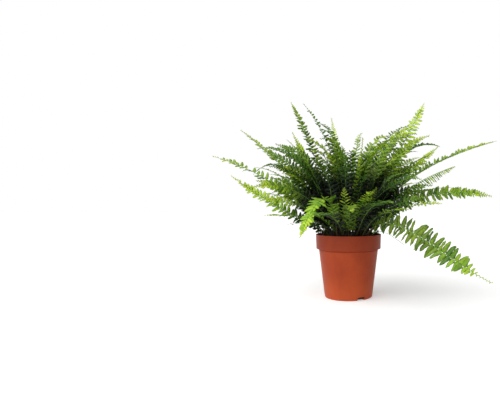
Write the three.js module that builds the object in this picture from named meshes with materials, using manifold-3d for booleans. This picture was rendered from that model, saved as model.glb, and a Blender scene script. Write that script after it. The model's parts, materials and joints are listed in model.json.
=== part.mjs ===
// A potted Boston fern: a moulded plastic nursery pot, the soil in it and one closed body for each frond.
// Millimetres, +Z up, origin at the centre of the pot's flat underside, -Y towards the front.

import * as THREE from 'three';
import Module from 'manifold-3d';
import { mergeVertices } from 'three/addons/utils/BufferGeometryUtils.js';

const wasm = await Module();
wasm.setup();

// The pot
const POT_HEIGHT = 115;
const RIM_RADIUS = 60;
const LIP_ROUND = { width: 0.6, height: 1 };
const COLLAR_HEIGHT = 26;
const COLLAR_FOOT = POT_HEIGHT - COLLAR_HEIGHT;
const COLLAR_FOOT_RADIUS = 59.2;
const COLLAR_EDGE = 0.8;
const GROOVE_HEIGHT = 1.2;
const BODY_TOP = COLLAR_FOOT - GROOVE_HEIGHT;
const BODY_TOP_RADIUS = 54.4;
const FOOT_RADIUS = 43.6;
const FOOT_ROUND = 3;
const FOOT_BULGE = 0.3 * FOOT_ROUND;
const WALL = 1.4;
const FLOOR_THICKNESS = 2.4;
const INNER_ROUND = { width: 2, height: 1.2 };
const INNER_STEP_RISE = 3.4;
const POT_SIDES = 32;
const NOTCH = { count: 3, width: 15, height: 6, depth: 9, outset: 1, firstAngle: -59 };
const DRAIN = { count: 6, radius: 3.5, circle: 20, sides: 8, firstAngle: 30 };
const POT_FINISH = { color: 0xb0502f, roughness: 0.5 };

// The soil
const SOIL_GAP = 0.4;
const SOIL_EDGE_HEIGHT = 102;
const SOIL_SHOULDER = { radius: 36, height: 104 };
const SOIL_CROWN_HEIGHT = 105;
const HOLE = { radius: 2.2, sides: 5, floor: 90, length: 40 };
const SOIL_FINISH = { color: 0x2a1d14, roughness: 0.95 };

// The stipes' places in the soil
const SPOT_COUNT = 66;
const SPOT_SPREAD = 5.9;
const SPOTS_TRIED = 9;
const GOLDEN_ANGLE = 137.508;
const LEAST_ROOT_RADIUS = 5;
const ROOT_RADIUS_RANGE = 40;

// The fronds
const STUB_FOOT = HOLE.floor + SOIL_GAP;
const STUB_TOP = 109;
const STIPE_THICKNESS = 2;
const STIPE_STEPS = 3;
const RIB_WIDTH = 1.8;
const RIB_TIP_WIDTH = 0.9;
const RIB_THICKNESS = 1.12;
const BARE_SHARE = 0.22;
const ARCH = 0.36;
const LEAFLET_THICKNESS = 0.8;
const LEAFLET_PITCH = 11.6;
const LEAST_PAIRS = 7;
const LEAFLET_SWEEP = 0.36;
const LEAFLET_RISE = 16;

// The blade's outline: the leaflets at its foot are short over some of its length, and it tapers to its tip
const FOOT_SHARE = 0.45;
const FOOT_LENGTH = 0.35;
const TAPER = { reach: 2.6, roundness: 0.9 };
const LEAST_HALF_WIDTH = 1.5;

// A leaflet's outer corners, as shares of a pair's length and of the blade's half width
const POINTED_LEAFLET = [[0.42, 1]];
const BLUNT_LEAFLET = [[0.15, 0.93], [0.62, 1]];

// How far fronds keep from each other, and how they are bent when they don't
const CLEARANCE = 5.5;
const BLADE_STIPE_CLEARANCE = 4.6;
const STIPE_CLEARANCE = 3.6;
const POT_CLEARANCE = 5;
const BEND_TURNS = { steps: 6, size: 4 };
const BEND_RAISES = { steps: 3, size: 8 };
const STIPE_SAMPLE_STEP = 5;

const TONES = {
  deep: { color: 0x2f5a1e, roughness: 0.62 },
  leaf: { color: 0x4c8426, roughness: 0.6 },
  fresh: { color: 0x86b43a, roughness: 0.58 },
};

// One row for each frond. Its tip stands at an azimuth round the pot's axis (0 is right, 90 is back), at a
// reach from that axis and at a height over the floor. It leaves the soil at the elevation rise and ends at
// the elevation end. half is half its blade's width, roll turns the blade about its rib, arch says how
// strongly it arches, bare is the share of the rib with no leaflets, taper says how late the blade narrows
// (the higher, the blunter its tip), and blunt gives it leaflets with square ends. Angles are in degrees.
const FRONDS = [
  { azimuth: 306, reach: 310, height: 71, rise: 50, end: -15, half: 22, roll: 70, tone: 'leaf', blunt: true },
  { azimuth: 353, reach: 256, height: 184, rise: 58, end: -14, half: 17, roll: 62, tone: 'leaf', blunt: true },
  { azimuth: 356, reach: 268, height: 284, rise: 67, end: 15, half: 17, tone: 'leaf' },
  { azimuth: 352, reach: 138, height: 352, rise: 66, end: 62, half: 18, roll: 35, tone: 'fresh' },
  { azimuth: 175, reach: 108, height: 360, rise: 76, end: 64, half: 16, roll: -15, taper: 6, tone: 'leaf' },
  { azimuth: 176, reach: 257, height: 260, rise: 44, end: 14, half: 18, roll: -20, tone: 'leaf' },
  { azimuth: 172, reach: 209, height: 312, rise: 66, end: 38, half: 18, roll: -25, tone: 'leaf' },
  { azimuth: 191, reach: 210, height: 220, rise: 30, end: 37, half: 17, roll: -45, tone: 'fresh' },
  { azimuth: 167, reach: 88, height: 360, rise: 88, end: 48, half: 17, tone: 'deep' },
  { azimuth: 25, reach: 145, height: 325, rise: 82, end: 2, half: 18, tone: 'deep' },
  { azimuth: 10, reach: 178, height: 280, rise: 80, end: -18, half: 17, tone: 'deep' },
  { azimuth: 292, reach: 65, height: 283, rise: 86, end: 80, half: 15, tone: 'fresh' },
  { azimuth: 122, reach: 118, height: 336, rise: 86, end: 5, half: 16, tone: 'deep' },
  { azimuth: 104, reach: 155, height: 358, rise: 80, end: 54, half: 13, tone: 'fresh' },
  { azimuth: 183, reach: 172, height: 224, rise: 80, end: -50, half: 18, arch: 0.42, tone: 'deep' },
  { azimuth: 152, reach: 126, height: 312, rise: 72, end: 62, half: 15, tone: 'fresh' },
  { azimuth: 195, reach: 114, height: 285, rise: 66, end: 40, half: 16, tone: 'leaf' },
  { azimuth: 342, reach: 191, height: 235, rise: 60, end: 18, half: 17, bare: 0.4, tone: 'leaf' },
  { azimuth: 329, reach: 177, height: 171, rise: 50, end: -5, half: 16, tone: 'leaf' },
  { azimuth: 235, reach: 134, height: 118, rise: 86, end: -62, arch: 0.95, half: 19, taper: 5, tone: 'fresh' },
  { azimuth: 262, reach: 55, height: 198, rise: 86, end: 60, half: 13, tone: 'fresh' },
  { azimuth: 300, reach: 93, height: 198, rise: 76, end: 40, half: 13, tone: 'leaf' },
  { azimuth: 272, reach: 150, height: 158, rise: 70, end: -35, half: 15, tone: 'fresh' },
  { azimuth: 227, reach: 84, height: 152, rise: 62, end: 5, half: 12, tone: 'leaf' },
  { azimuth: 318, reach: 84, height: 150, rise: 62, end: 5, half: 12, tone: 'deep' },
  { azimuth: 20, reach: 190, height: 284, rise: 60, end: 40, half: 11, tone: 'fresh' },
  { azimuth: 288, reach: 126, height: 216, rise: 74, end: 15, half: 16, tone: 'fresh' },
  { azimuth: 216, reach: 110, height: 258, rise: 84, end: 5, half: 15, tone: 'deep' },
  { azimuth: 207, reach: 112, height: 134, rise: 58, end: -20, half: 10, tone: 'deep' },
  { azimuth: 276, reach: 68, height: 149, rise: 70, end: 15, half: 9, tone: 'leaf' },
  { azimuth: 216, reach: 165, height: 176, rise: 58, end: 0, half: 17, tone: 'leaf' },
  { azimuth: 248, reach: 175, height: 178, rise: 62, end: -8, half: 17, tone: 'deep' },
  { azimuth: 207, reach: 150, height: 240, rise: 72, end: 8, half: 17, tone: 'deep' },
  { azimuth: 318, reach: 150, height: 215, rise: 70, end: 5, half: 17, tone: 'deep' },
  { azimuth: 325, reach: 105, height: 290, rise: 82, end: 20, half: 17, tone: 'leaf' },
  { azimuth: 286, reach: 190, height: 172, rise: 60, end: -10, half: 17, tone: 'deep' },
  { azimuth: 334, reach: 150, height: 258, rise: 74, end: 15, half: 14, tone: 'deep' },
  { azimuth: 42, reach: 90, height: 150, rise: 62, end: 5, half: 12, tone: 'leaf' },
  { azimuth: 93, reach: 92, height: 156, rise: 62, end: 5, half: 12, tone: 'fresh' },
  { azimuth: 147, reach: 90, height: 152, rise: 62, end: 5, half: 12, tone: 'leaf' },
  { azimuth: 40, reach: 190, height: 215, rise: 62, end: 5, half: 18, tone: 'leaf' },
  { azimuth: 60, reach: 215, height: 190, rise: 56, end: -10, half: 18, tone: 'deep' },
  { azimuth: 82, reach: 225, height: 200, rise: 56, end: -6, half: 18, tone: 'leaf' },
  { azimuth: 104, reach: 215, height: 185, rise: 56, end: -12, half: 18, tone: 'deep' },
  { azimuth: 125, reach: 210, height: 195, rise: 58, end: -6, half: 18, tone: 'leaf' },
  { azimuth: 145, reach: 205, height: 225, rise: 60, end: 5, half: 18, tone: 'deep' },
  { azimuth: 50, reach: 140, height: 300, rise: 78, end: 15, half: 17, tone: 'deep' },
  { azimuth: 75, reach: 110, height: 318, rise: 84, end: 10, half: 17, tone: 'leaf' },
  { azimuth: 95, reach: 140, height: 298, rise: 80, end: -5, half: 17, tone: 'deep' },
  { azimuth: 136, reach: 150, height: 282, rise: 76, end: 5, half: 17, tone: 'deep' },
  { azimuth: 160, reach: 175, height: 205, rise: 58, end: -8, half: 16, tone: 'leaf' },
  { azimuth: 28, reach: 150, height: 195, rise: 60, end: 0, half: 16, tone: 'leaf' },
  { azimuth: 70, reach: 170, height: 238, rise: 68, end: 5, half: 16, tone: 'fresh' },
  { azimuth: 115, reach: 185, height: 250, rise: 66, end: 5, half: 13, tone: 'leaf' },
  { azimuth: 308, reach: 165, height: 178, rise: 62, end: -5, half: 14, tone: 'leaf' },
  { azimuth: 240, reach: 50, height: 282, rise: 88, end: 10, half: 15, tone: 'deep' },
  { azimuth: 160, reach: 190, height: 250, rise: 64, end: 5, half: 12, tone: 'leaf' },
  { azimuth: 0, reach: 190, height: 225, rise: 64, end: 0, half: 12, tone: 'fresh' },
];

const MERGE_DISTANCE = 1e-4;

const radians = THREE.MathUtils.degToRad;

// A point at an azimuth and radius round the axis, at a height.
function around(azimuth, radius, height) {
  return new THREE.Vector3(
    radius * Math.cos(radians(azimuth)),
    radius * Math.sin(radians(azimuth)),
    height,
  );
}

// A unit vector at an azimuth and an elevation.
function heading(azimuth, elevation) {
  return around(azimuth, Math.cos(radians(elevation)), Math.sin(radians(elevation)));
}

// The solid of a closed mesh, for joining and cutting.
function solidOf(geometry) {
  const bare = geometry.index ? geometry.toNonIndexed() : geometry.clone();
  bare.deleteAttribute('normal');
  bare.deleteAttribute('uv');
  const merged = mergeVertices(bare, MERGE_DISTANCE);
  return new wasm.Manifold(new wasm.Mesh({
    numProp: 3,
    vertProperties: new Float32Array(merged.attributes.position.array),
    triVerts: new Uint32Array(merged.index.array),
  }));
}

// The mesh of a solid that was joined or cut.
function geometryOf(solid) {
  const mesh = solid.getMesh();
  const geometry = new THREE.BufferGeometry();
  geometry.setAttribute('position', new THREE.BufferAttribute(new Float32Array(mesh.vertProperties), 3));
  geometry.setIndex(new THREE.BufferAttribute(new Uint32Array(mesh.triVerts), 1));
  geometry.computeVertexNormals();
  return geometry;
}

function named(name, geometry, finish) {
  const mesh = new THREE.Mesh(geometry, new THREE.MeshStandardMaterial({ metalness: 0, ...finish }));
  mesh.name = name;
  return mesh;
}

// The solid that an outline of radii and heights makes when it is turned round the axis.
function turnedSolid(outline) {
  const points = outline.map(([radius, height]) => new THREE.Vector2(radius, height));
  return solidOf(new THREE.LatheGeometry(points, POT_SIDES).rotateX(Math.PI / 2));
}

// The pot's inner face in section, from the middle of its floor out and up to the foot of the collar.
function potInside() {
  const foot = FOOT_RADIUS - WALL;
  return [
    [0, FLOOR_THICKNESS],
    [foot - INNER_ROUND.width, FLOOR_THICKNESS],
    [foot, FLOOR_THICKNESS + INNER_ROUND.height],
    [BODY_TOP_RADIUS - WALL, BODY_TOP],
    [COLLAR_FOOT_RADIUS - WALL, BODY_TOP + INNER_STEP_RISE],
  ];
}

// The pot: up the outside, over the lip and down the inside, less the foot's notches and the floor's holes.
function potGeometry() {
  let pot = turnedSolid([
    [0, 0],
    [FOOT_RADIUS - FOOT_ROUND, 0],
    [FOOT_RADIUS - FOOT_BULGE, FOOT_BULGE],
    [FOOT_RADIUS, FOOT_ROUND],
    [BODY_TOP_RADIUS, BODY_TOP],
    [COLLAR_FOOT_RADIUS - COLLAR_EDGE, COLLAR_FOOT],
    [COLLAR_FOOT_RADIUS, COLLAR_FOOT + COLLAR_EDGE],
    [RIM_RADIUS, POT_HEIGHT - LIP_ROUND.height],
    [RIM_RADIUS - LIP_ROUND.width, POT_HEIGHT],
    [RIM_RADIUS - WALL, POT_HEIGHT],
    ...potInside().reverse(),
  ]);

  for (let i = 0; i < NOTCH.count; i += 1) {
    const cutter = new THREE.BoxGeometry(NOTCH.depth, NOTCH.width, 2 * NOTCH.height);
    cutter.translate(FOOT_RADIUS + NOTCH.outset, 0, 0);
    cutter.rotateZ(radians(NOTCH.firstAngle + (360 * i) / NOTCH.count));
    pot = pot.subtract(solidOf(cutter));
  }
  for (let i = 0; i < DRAIN.count; i += 1) {
    const centre = around(DRAIN.firstAngle + (360 * i) / DRAIN.count, DRAIN.circle, FLOOR_THICKNESS / 2);
    const cutter = new THREE.CylinderGeometry(DRAIN.radius, DRAIN.radius, 2 * FLOOR_THICKNESS, DRAIN.sides);
    cutter.rotateX(Math.PI / 2).translate(centre.x, centre.y, centre.z);
    pot = pot.subtract(solidOf(cutter));
  }
  return geometryOf(pot);
}

// The soil: it fills the pot but for a small gap, and has a plain hole cut in it for each stipe.
function soilGeometry(roots) {
  let soil = turnedSolid([
    ...potInside().map(([radius, height]) => [Math.max(0, radius - SOIL_GAP), height + SOIL_GAP]),
    [COLLAR_FOOT_RADIUS - WALL - SOIL_GAP, SOIL_EDGE_HEIGHT],
    [SOIL_SHOULDER.radius, SOIL_SHOULDER.height],
    [0, SOIL_CROWN_HEIGHT],
  ]);

  for (const root of roots) {
    const cutter = new THREE.CylinderGeometry(HOLE.radius, HOLE.radius, HOLE.length, HOLE.sides);
    cutter.rotateX(Math.PI / 2).translate(root.x, root.y, HOLE.floor + HOLE.length / 2);
    soil = soil.subtract(solidOf(cutter));
  }
  return geometryOf(soil);
}

// The spots where stipes may stand, in a sunflower spiral round the axis.
function rootSpots() {
  const spots = [];
  for (let i = 0; i < SPOT_COUNT; i += 1) {
    spots.push(around(i * GOLDEN_ANGLE, SPOT_SPREAD * Math.sqrt(i + 0.5), STUB_TOP));
  }
  return spots;
}

// The free spots nearest to a frond's own side of the crown, further out if it leans lower.
function nearSpots(row, spots) {
  const climb = Math.max(row.height - STUB_TOP, 0);
  const lean = row.reach / (row.reach + climb);
  const wanted = around(row.azimuth, LEAST_ROOT_RADIUS + ROOT_RADIUS_RANGE * lean, STUB_TOP);
  return spots
    .toSorted((a, b) => a.distanceTo(wanted) - b.distanceTo(wanted))
    .slice(0, SPOTS_TRIED);
}

// A frond's rib as a curve, and the way that its blade lies along it.
class Frond {
  constructor(row, root, turn = 0, raise = 0) {
    this.row = row;
    this.root = root;
    this.turn = turn;
    this.raise = raise;
    this.tip = around(row.azimuth + turn, row.reach, row.height + raise);
    const chord = this.tip.clone().sub(root);
    const azimuth = THREE.MathUtils.radToDeg(Math.atan2(chord.y, chord.x));
    const pull = (row.arch ?? ARCH) * chord.length();
    this.curve = new THREE.CubicBezierCurve3(
      root,
      root.clone().addScaledVector(heading(azimuth, row.rise), pull),
      this.tip.clone().addScaledVector(heading(azimuth, row.end), -pull),
      this.tip,
    );
    this.side = heading(azimuth + 90, 0);
    this.bare = row.bare ?? BARE_SHARE;
    this.length = this.curve.getLength();
    const bladeLength = this.length * (1 - this.bare);
    this.pairs = Math.max(LEAST_PAIRS, Math.round(bladeLength / LEAFLET_PITCH));
  }

  // The place on the rib, and the directions along it, to its left and out of its upper face.
  station(share) {
    const along = this.curve.getTangent(share);
    const left = this.side.clone().addScaledVector(along, -this.side.dot(along)).normalize();
    left.applyAxisAngle(along, radians(this.row.roll ?? 0));
    const up = new THREE.Vector3().crossVectors(along, left);
    return { place: this.curve.getPoint(share), along, left, up };
  }

  // Half the blade's width: short leaflets at the foot, the full width in the middle, tapering to the tip.
  halfWidth(bladeShare) {
    const foot = FOOT_SHARE + (1 - FOOT_SHARE) * Math.min(1, bladeShare / FOOT_LENGTH);
    const reach = this.row.taper ?? TAPER.reach;
    const taper = Math.pow(1 - Math.pow(bladeShare, reach), TAPER.roundness);
    return Math.max(LEAST_HALF_WIDTH, this.row.half * foot * taper);
  }

  // The end of the leaflet at a share of the blade, on the left side (1) or the right side (-1).
  leafletEnd(bladeShare, side, share = 1) {
    const rib = this.station(this.bare + (1 - this.bare) * bladeShare);
    const reach = this.halfWidth(bladeShare) * share;
    return rib.place
      .addScaledVector(rib.left, side * reach * Math.cos(radians(LEAFLET_RISE)))
      .addScaledVector(rib.up, reach * Math.sin(radians(LEAFLET_RISE)))
      .addScaledVector(rib.along, reach * LEAFLET_SWEEP);
  }

  // Points all over the blade, for the distance to other fronds.
  samples() {
    const blade = [];
    for (let i = 0; i <= this.pairs; i += 1) {
      const share = i / this.pairs;
      blade.push(this.station(this.bare + (1 - this.bare) * share).place);
      for (const side of [1, -1]) {
        blade.push(this.leafletEnd(share, side, 0.5));
        blade.push(this.leafletEnd(share, side, 1));
      }
    }
    const stipe = [];
    const steps = Math.ceil((this.length * this.bare) / STIPE_SAMPLE_STEP);
    for (let i = 0; i < steps; i += 1) {
      stipe.push(this.curve.getPoint((this.bare * i) / steps));
    }
    return { blade, stipe };
  }
}

// The least distance between the points of two lists, or the given limit if that is less.
function apart(these, those, limit) {
  let least = limit * limit;
  for (const a of these) {
    for (const b of those) {
      least = Math.min(least, a.distanceToSquared(b));
    }
  }
  return Math.sqrt(least);
}

// How much room a frond has to the pot's rim and to the fronds that stand already, below 0 if too little.
function room(frond, standing) {
  const own = frond.samples();
  let least = 0;
  for (const p of own.blade) {
    if (Math.hypot(p.x, p.y) < RIM_RADIUS + POT_CLEARANCE) {
      least = Math.min(least, p.z - POT_HEIGHT - POT_CLEARANCE);
    }
  }
  for (const other of standing) {
    least = Math.min(
      least,
      apart(own.blade, other.blade, CLEARANCE) - CLEARANCE,
      apart(own.blade, other.stipe, BLADE_STIPE_CLEARANCE) - BLADE_STIPE_CLEARANCE,
      apart(own.stipe, other.blade, BLADE_STIPE_CLEARANCE) - BLADE_STIPE_CLEARANCE,
      apart(own.stipe, other.stipe, STIPE_CLEARANCE) - STIPE_CLEARANCE,
    );
  }
  return least;
}

// The turns and lifts that are tried on a frond, the smallest first.
function bends() {
  const tried = [];
  for (let i = -BEND_TURNS.steps; i <= BEND_TURNS.steps; i += 1) {
    for (let j = -BEND_RAISES.steps; j <= BEND_RAISES.steps; j += 1) {
      tried.push({
        turn: i * BEND_TURNS.size,
        raise: j * BEND_RAISES.size,
        size: Math.abs(i) + Math.abs(j),
      });
    }
  }
  return tried.sort((a, b) => a.size - b.size);
}

// One frond, at the spot and with the bend that keep it clear of the ones before it, or nearest to clear.
function standFrond(row, spots, standing) {
  let best = null;
  for (const root of nearSpots(row, spots)) {
    for (const { turn, raise } of bends()) {
      const frond = new Frond(row, root, turn, raise);
      frond.room = room(frond, standing);
      if (best === null || frond.room > best.room) {
        best = frond;
      }
      if (best.room === 0) {
        return best;
      }
    }
  }
  return best;
}

// All fronds in the table's order.
export function standFronds() {
  let spots = rootSpots();
  const standing = [];
  return FRONDS.map((row) => {
    const frond = standFrond(row, spots, standing);
    spots = spots.filter((spot) => spot !== frond.root);
    standing.push(frond.samples());
    return frond;
  });
}

// A frond's closed body: a four-edged rib with a thin leaflet in place of its side at every pair.
function frondGeometry(frond) {
  const corners = [];
  const faces = [];
  const add = (point) => corners.push(point.x, point.y, point.z) / 3 - 1;
  const quad = (a, b, c, d) => faces.push(a, b, c, a, c, d);

  // The four corners of the rib's section, counted round: upper left, upper right, lower right, lower left.
  function section(rib, width, thickness) {
    return [[1, 1], [-1, 1], [-1, -1], [1, -1]].map(([side, face]) => add(rib.place.clone()
      .addScaledVector(rib.left, (side * width) / 2)
      .addScaledVector(rib.up, (face * thickness) / 2)));
  }

  function wall(before, after, edge) {
    const next = (edge + 1) % 4;
    quad(before[edge], before[next], after[next], after[edge]);
  }

  const upright = frond.station(0);
  upright.along = new THREE.Vector3(0, 0, 1);
  upright.left = frond.side.clone();
  upright.up = new THREE.Vector3().crossVectors(upright.along, upright.left);
  upright.place.z = STUB_FOOT;
  let last = section(upright, STIPE_THICKNESS, STIPE_THICKNESS);
  quad(last[0], last[3], last[2], last[1]);

  for (let i = 0; i <= STIPE_STEPS; i += 1) {
    const share = (frond.bare * i) / STIPE_STEPS;
    const size = THREE.MathUtils.lerp(STIPE_THICKNESS, RIB_WIDTH, i / STIPE_STEPS);
    const thickness = THREE.MathUtils.lerp(STIPE_THICKNESS, RIB_THICKNESS, i / STIPE_STEPS);
    const next = section(frond.station(share), size, thickness);
    [0, 1, 2, 3].forEach((edge) => wall(last, next, edge));
    last = next;
  }

  const outline = frond.row.blunt ? BLUNT_LEAFLET : POINTED_LEAFLET;
  for (let i = 0; i < frond.pairs; i += 1) {
    const end = (i + 1) / frond.pairs;
    const rib = frond.station(frond.bare + (1 - frond.bare) * end);
    const width = THREE.MathUtils.lerp(RIB_WIDTH, RIB_TIP_WIDTH, end);
    const thickness = THREE.MathUtils.lerp(RIB_THICKNESS, LEAFLET_THICKNESS, end);
    const next = section(rib, width, thickness);
    wall(last, next, 0);
    wall(last, next, 2);
    for (const side of [1, -1]) {
      const [upper, lower] = side === 1 ? [0, 3] : [1, 2];
      const tops = [last[upper]];
      const bottoms = [last[lower]];
      for (const [along, out] of outline) {
        const corner = frond.leafletEnd((i + along) / frond.pairs, side, out);
        tops.push(add(corner.clone().addScaledVector(rib.up, LEAFLET_THICKNESS / 2)));
        bottoms.push(add(corner.clone().addScaledVector(rib.up, -LEAFLET_THICKNESS / 2)));
      }
      tops.push(next[upper]);
      bottoms.push(next[lower]);
      for (let k = 1; k < tops.length - 1; k += 1) {
        const top = [tops[0], tops[k], tops[k + 1]];
        const bottom = [bottoms[0], bottoms[k + 1], bottoms[k]];
        faces.push(...(side === 1 ? top.reverse() : top), ...(side === 1 ? bottom.reverse() : bottom));
      }
      for (let k = 0; k < tops.length - 1; k += 1) {
        const edge = [tops[k], tops[k + 1], bottoms[k + 1], bottoms[k]];
        quad(...(side === 1 ? edge : edge.reverse()));
      }
    }
    last = next;
  }
  quad(...last);

  const geometry = new THREE.BufferGeometry();
  geometry.setAttribute('position', new THREE.Float32BufferAttribute(corners, 3));
  geometry.setIndex(faces);
  geometry.computeVertexNormals();
  return geometry;
}

const fronds = standFronds();
const fern = new THREE.Group();
fern.add(named('pot', potGeometry(), POT_FINISH));
fern.add(named('soil', soilGeometry(fronds.map((frond) => frond.root)), SOIL_FINISH));
fronds.forEach((frond, i) => {
  const name = `frond_${String(i + 1).padStart(2, '0')}`;
  fern.add(named(name, frondGeometry(frond), TONES[frond.row.tone]));
});

export default fern;
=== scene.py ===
"""A potted Boston fern: a moulded plastic nursery pot, dark peat, and arching fronds of small leaflets.

All sizes are in metres. +Z is up, the origin is under the middle of the pot, and -Y is towards the viewer.
"""

from __future__ import annotations

import json
import logging
import math
from dataclasses import dataclass
from enum import Enum
from typing import Any

import bmesh
import bpy
import numpy as np
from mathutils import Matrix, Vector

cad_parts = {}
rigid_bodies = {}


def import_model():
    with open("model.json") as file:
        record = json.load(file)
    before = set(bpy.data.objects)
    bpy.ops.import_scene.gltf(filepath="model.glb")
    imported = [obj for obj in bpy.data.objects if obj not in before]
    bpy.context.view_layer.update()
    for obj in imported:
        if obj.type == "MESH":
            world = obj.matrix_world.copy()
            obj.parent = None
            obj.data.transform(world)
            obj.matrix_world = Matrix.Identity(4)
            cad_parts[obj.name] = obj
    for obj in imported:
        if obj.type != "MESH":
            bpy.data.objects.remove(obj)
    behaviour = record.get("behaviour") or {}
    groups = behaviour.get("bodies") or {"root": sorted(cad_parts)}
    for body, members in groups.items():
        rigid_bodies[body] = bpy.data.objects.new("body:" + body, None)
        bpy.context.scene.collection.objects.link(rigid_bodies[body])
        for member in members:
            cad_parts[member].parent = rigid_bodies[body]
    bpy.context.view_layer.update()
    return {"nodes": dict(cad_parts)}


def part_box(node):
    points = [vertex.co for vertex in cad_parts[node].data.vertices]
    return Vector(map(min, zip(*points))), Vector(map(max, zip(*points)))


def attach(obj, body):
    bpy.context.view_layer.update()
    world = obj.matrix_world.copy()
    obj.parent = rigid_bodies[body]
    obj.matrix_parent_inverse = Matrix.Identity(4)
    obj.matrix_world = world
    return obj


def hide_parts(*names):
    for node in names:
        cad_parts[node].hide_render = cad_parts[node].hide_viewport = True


LOG = logging.getLogger("fern")
MILLIMETRE = 0.001
# Keeps a random number under the whole number that it may not reach
SLIVER = 0.001
WHITE = (1.0, 1.0, 1.0, 1.0)
Array = np.ndarray
Range = tuple[float, float]
Spot = tuple[float, float, float]
Settings = dict[str, Any]
Sockets = dict[str | int, Any]


def around(azimuth: float, radius: float, height: float) -> Array:
    """Gives the point at an azimuth in degrees and a radius round the axis, at a height."""
    turn = math.radians(azimuth)
    return np.array([radius * math.cos(turn), radius * math.sin(turn), height])


def heading(azimuth: float, elevation: float) -> Array:
    """Gives the unit vector at an azimuth and an elevation in degrees."""
    lift = math.radians(elevation)
    return around(azimuth, math.cos(lift), math.sin(lift))


def unit(vectors: Array) -> Array:
    """Scales each vector of an array to a length of one."""
    return vectors / np.linalg.norm(vectors, axis=-1, keepdims=True)


def colour(code: int) -> tuple[float, float, float, float]:
    """Turns a colour as seen on a screen, such as 0x4C8426, into the linear one that a shader takes.

    Args:
        code: The colour's red, green and blue, a byte each.

    Returns:
        Linear red, green, blue and an alpha of one.
    """
    levels = [((code >> shift) & 255) / 255 for shift in (16, 8, 0)]
    linear = [v / 12.92 if v <= 0.04045 else ((v + 0.055) / 1.055) ** 2.4 for v in levels]
    return linear[0], linear[1], linear[2], 1.0


class Tone(Enum):
    """The three greens of the fronds, by the name of their material slot."""

    DEEP = "frond_deep"
    LEAF = "frond_leaf"
    FRESH = "frond_fresh"


class Wire:
    """A node's output that takes part in Python expressions, each of which adds its Math node."""

    def __init__(self, net: Net, socket: bpy.types.NodeSocket) -> None:
        """Keeps the net and the socket."""
        self.net = net
        self.socket = socket

    def maths(self, operation: str, *values: Any) -> Wire:
        """Adds a Math node with this value as its first.

        Args:
            operation: The node's operation.
            values: What follows this value: numbers or wires, in order.

        Returns:
            The node's result.
        """
        return self.net.node("ShaderNodeMath", {"operation": operation}, dict(enumerate((self, *values))))

    def __add__(self, other: Any) -> Wire:
        """Adds."""
        return self.maths("ADD", other)

    __radd__ = __add__

    def __mul__(self, other: Any) -> Wire:
        """Multiplies."""
        return self.maths("MULTIPLY", other)

    __rmul__ = __mul__

    def __sub__(self, other: Any) -> Wire:
        """Subtracts a value from this one."""
        return self.maths("SUBTRACT", other)

    def __rsub__(self, other: Any) -> Wire:
        """Subtracts this value from another one."""
        return self * -1.0 + other

    def __pow__(self, other: Any) -> Wire:
        """Raises this value to a power."""
        return self.maths("POWER", other)

    def __abs__(self) -> Wire:
        """Drops the sign."""
        return self.maths("ABSOLUTE")

    def ramp(self, low: float, high: float) -> Wire:
        """Climbs smoothly from 0 where this value is low to 1 where it is high.

        Args:
            low: The value that gives 0.
            high: The value that gives 1.

        Returns:
            The smoothed share.
        """
        settings = {"interpolation_type": "SMOOTHSTEP"}
        return self.net.node("ShaderNodeMapRange", settings, {0: self, 1: low, 2: high})


class Net:
    """A node tree that is written as expressions."""

    def __init__(self, tree: bpy.types.NodeTree) -> None:
        """Keeps the tree that the nodes go into."""
        self.tree = tree

    def node(self, kind: str, settings: Settings | None = None, inputs: Sockets | None = None,
             output: str | int = 0) -> Wire:
        """Adds one node.

        Args:
            kind: The node's type.
            settings: Its properties, set first.
            inputs: Values, wires or lists of wires, by socket name or index.
            output: The output that is wanted.

        Returns:
            That output.
        """
        made = self.tree.nodes.new(kind)
        for name, value in (settings or {}).items():
            setattr(made, name, value)
        for name, value in (inputs or {}).items():
            for single in value if isinstance(value, list) else [value]:
                if isinstance(single, Wire):
                    self.tree.links.new(single.socket, made.inputs[name])
                else:
                    made.inputs[name].default_value = single
        return Wire(self, made.outputs[output])


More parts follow.
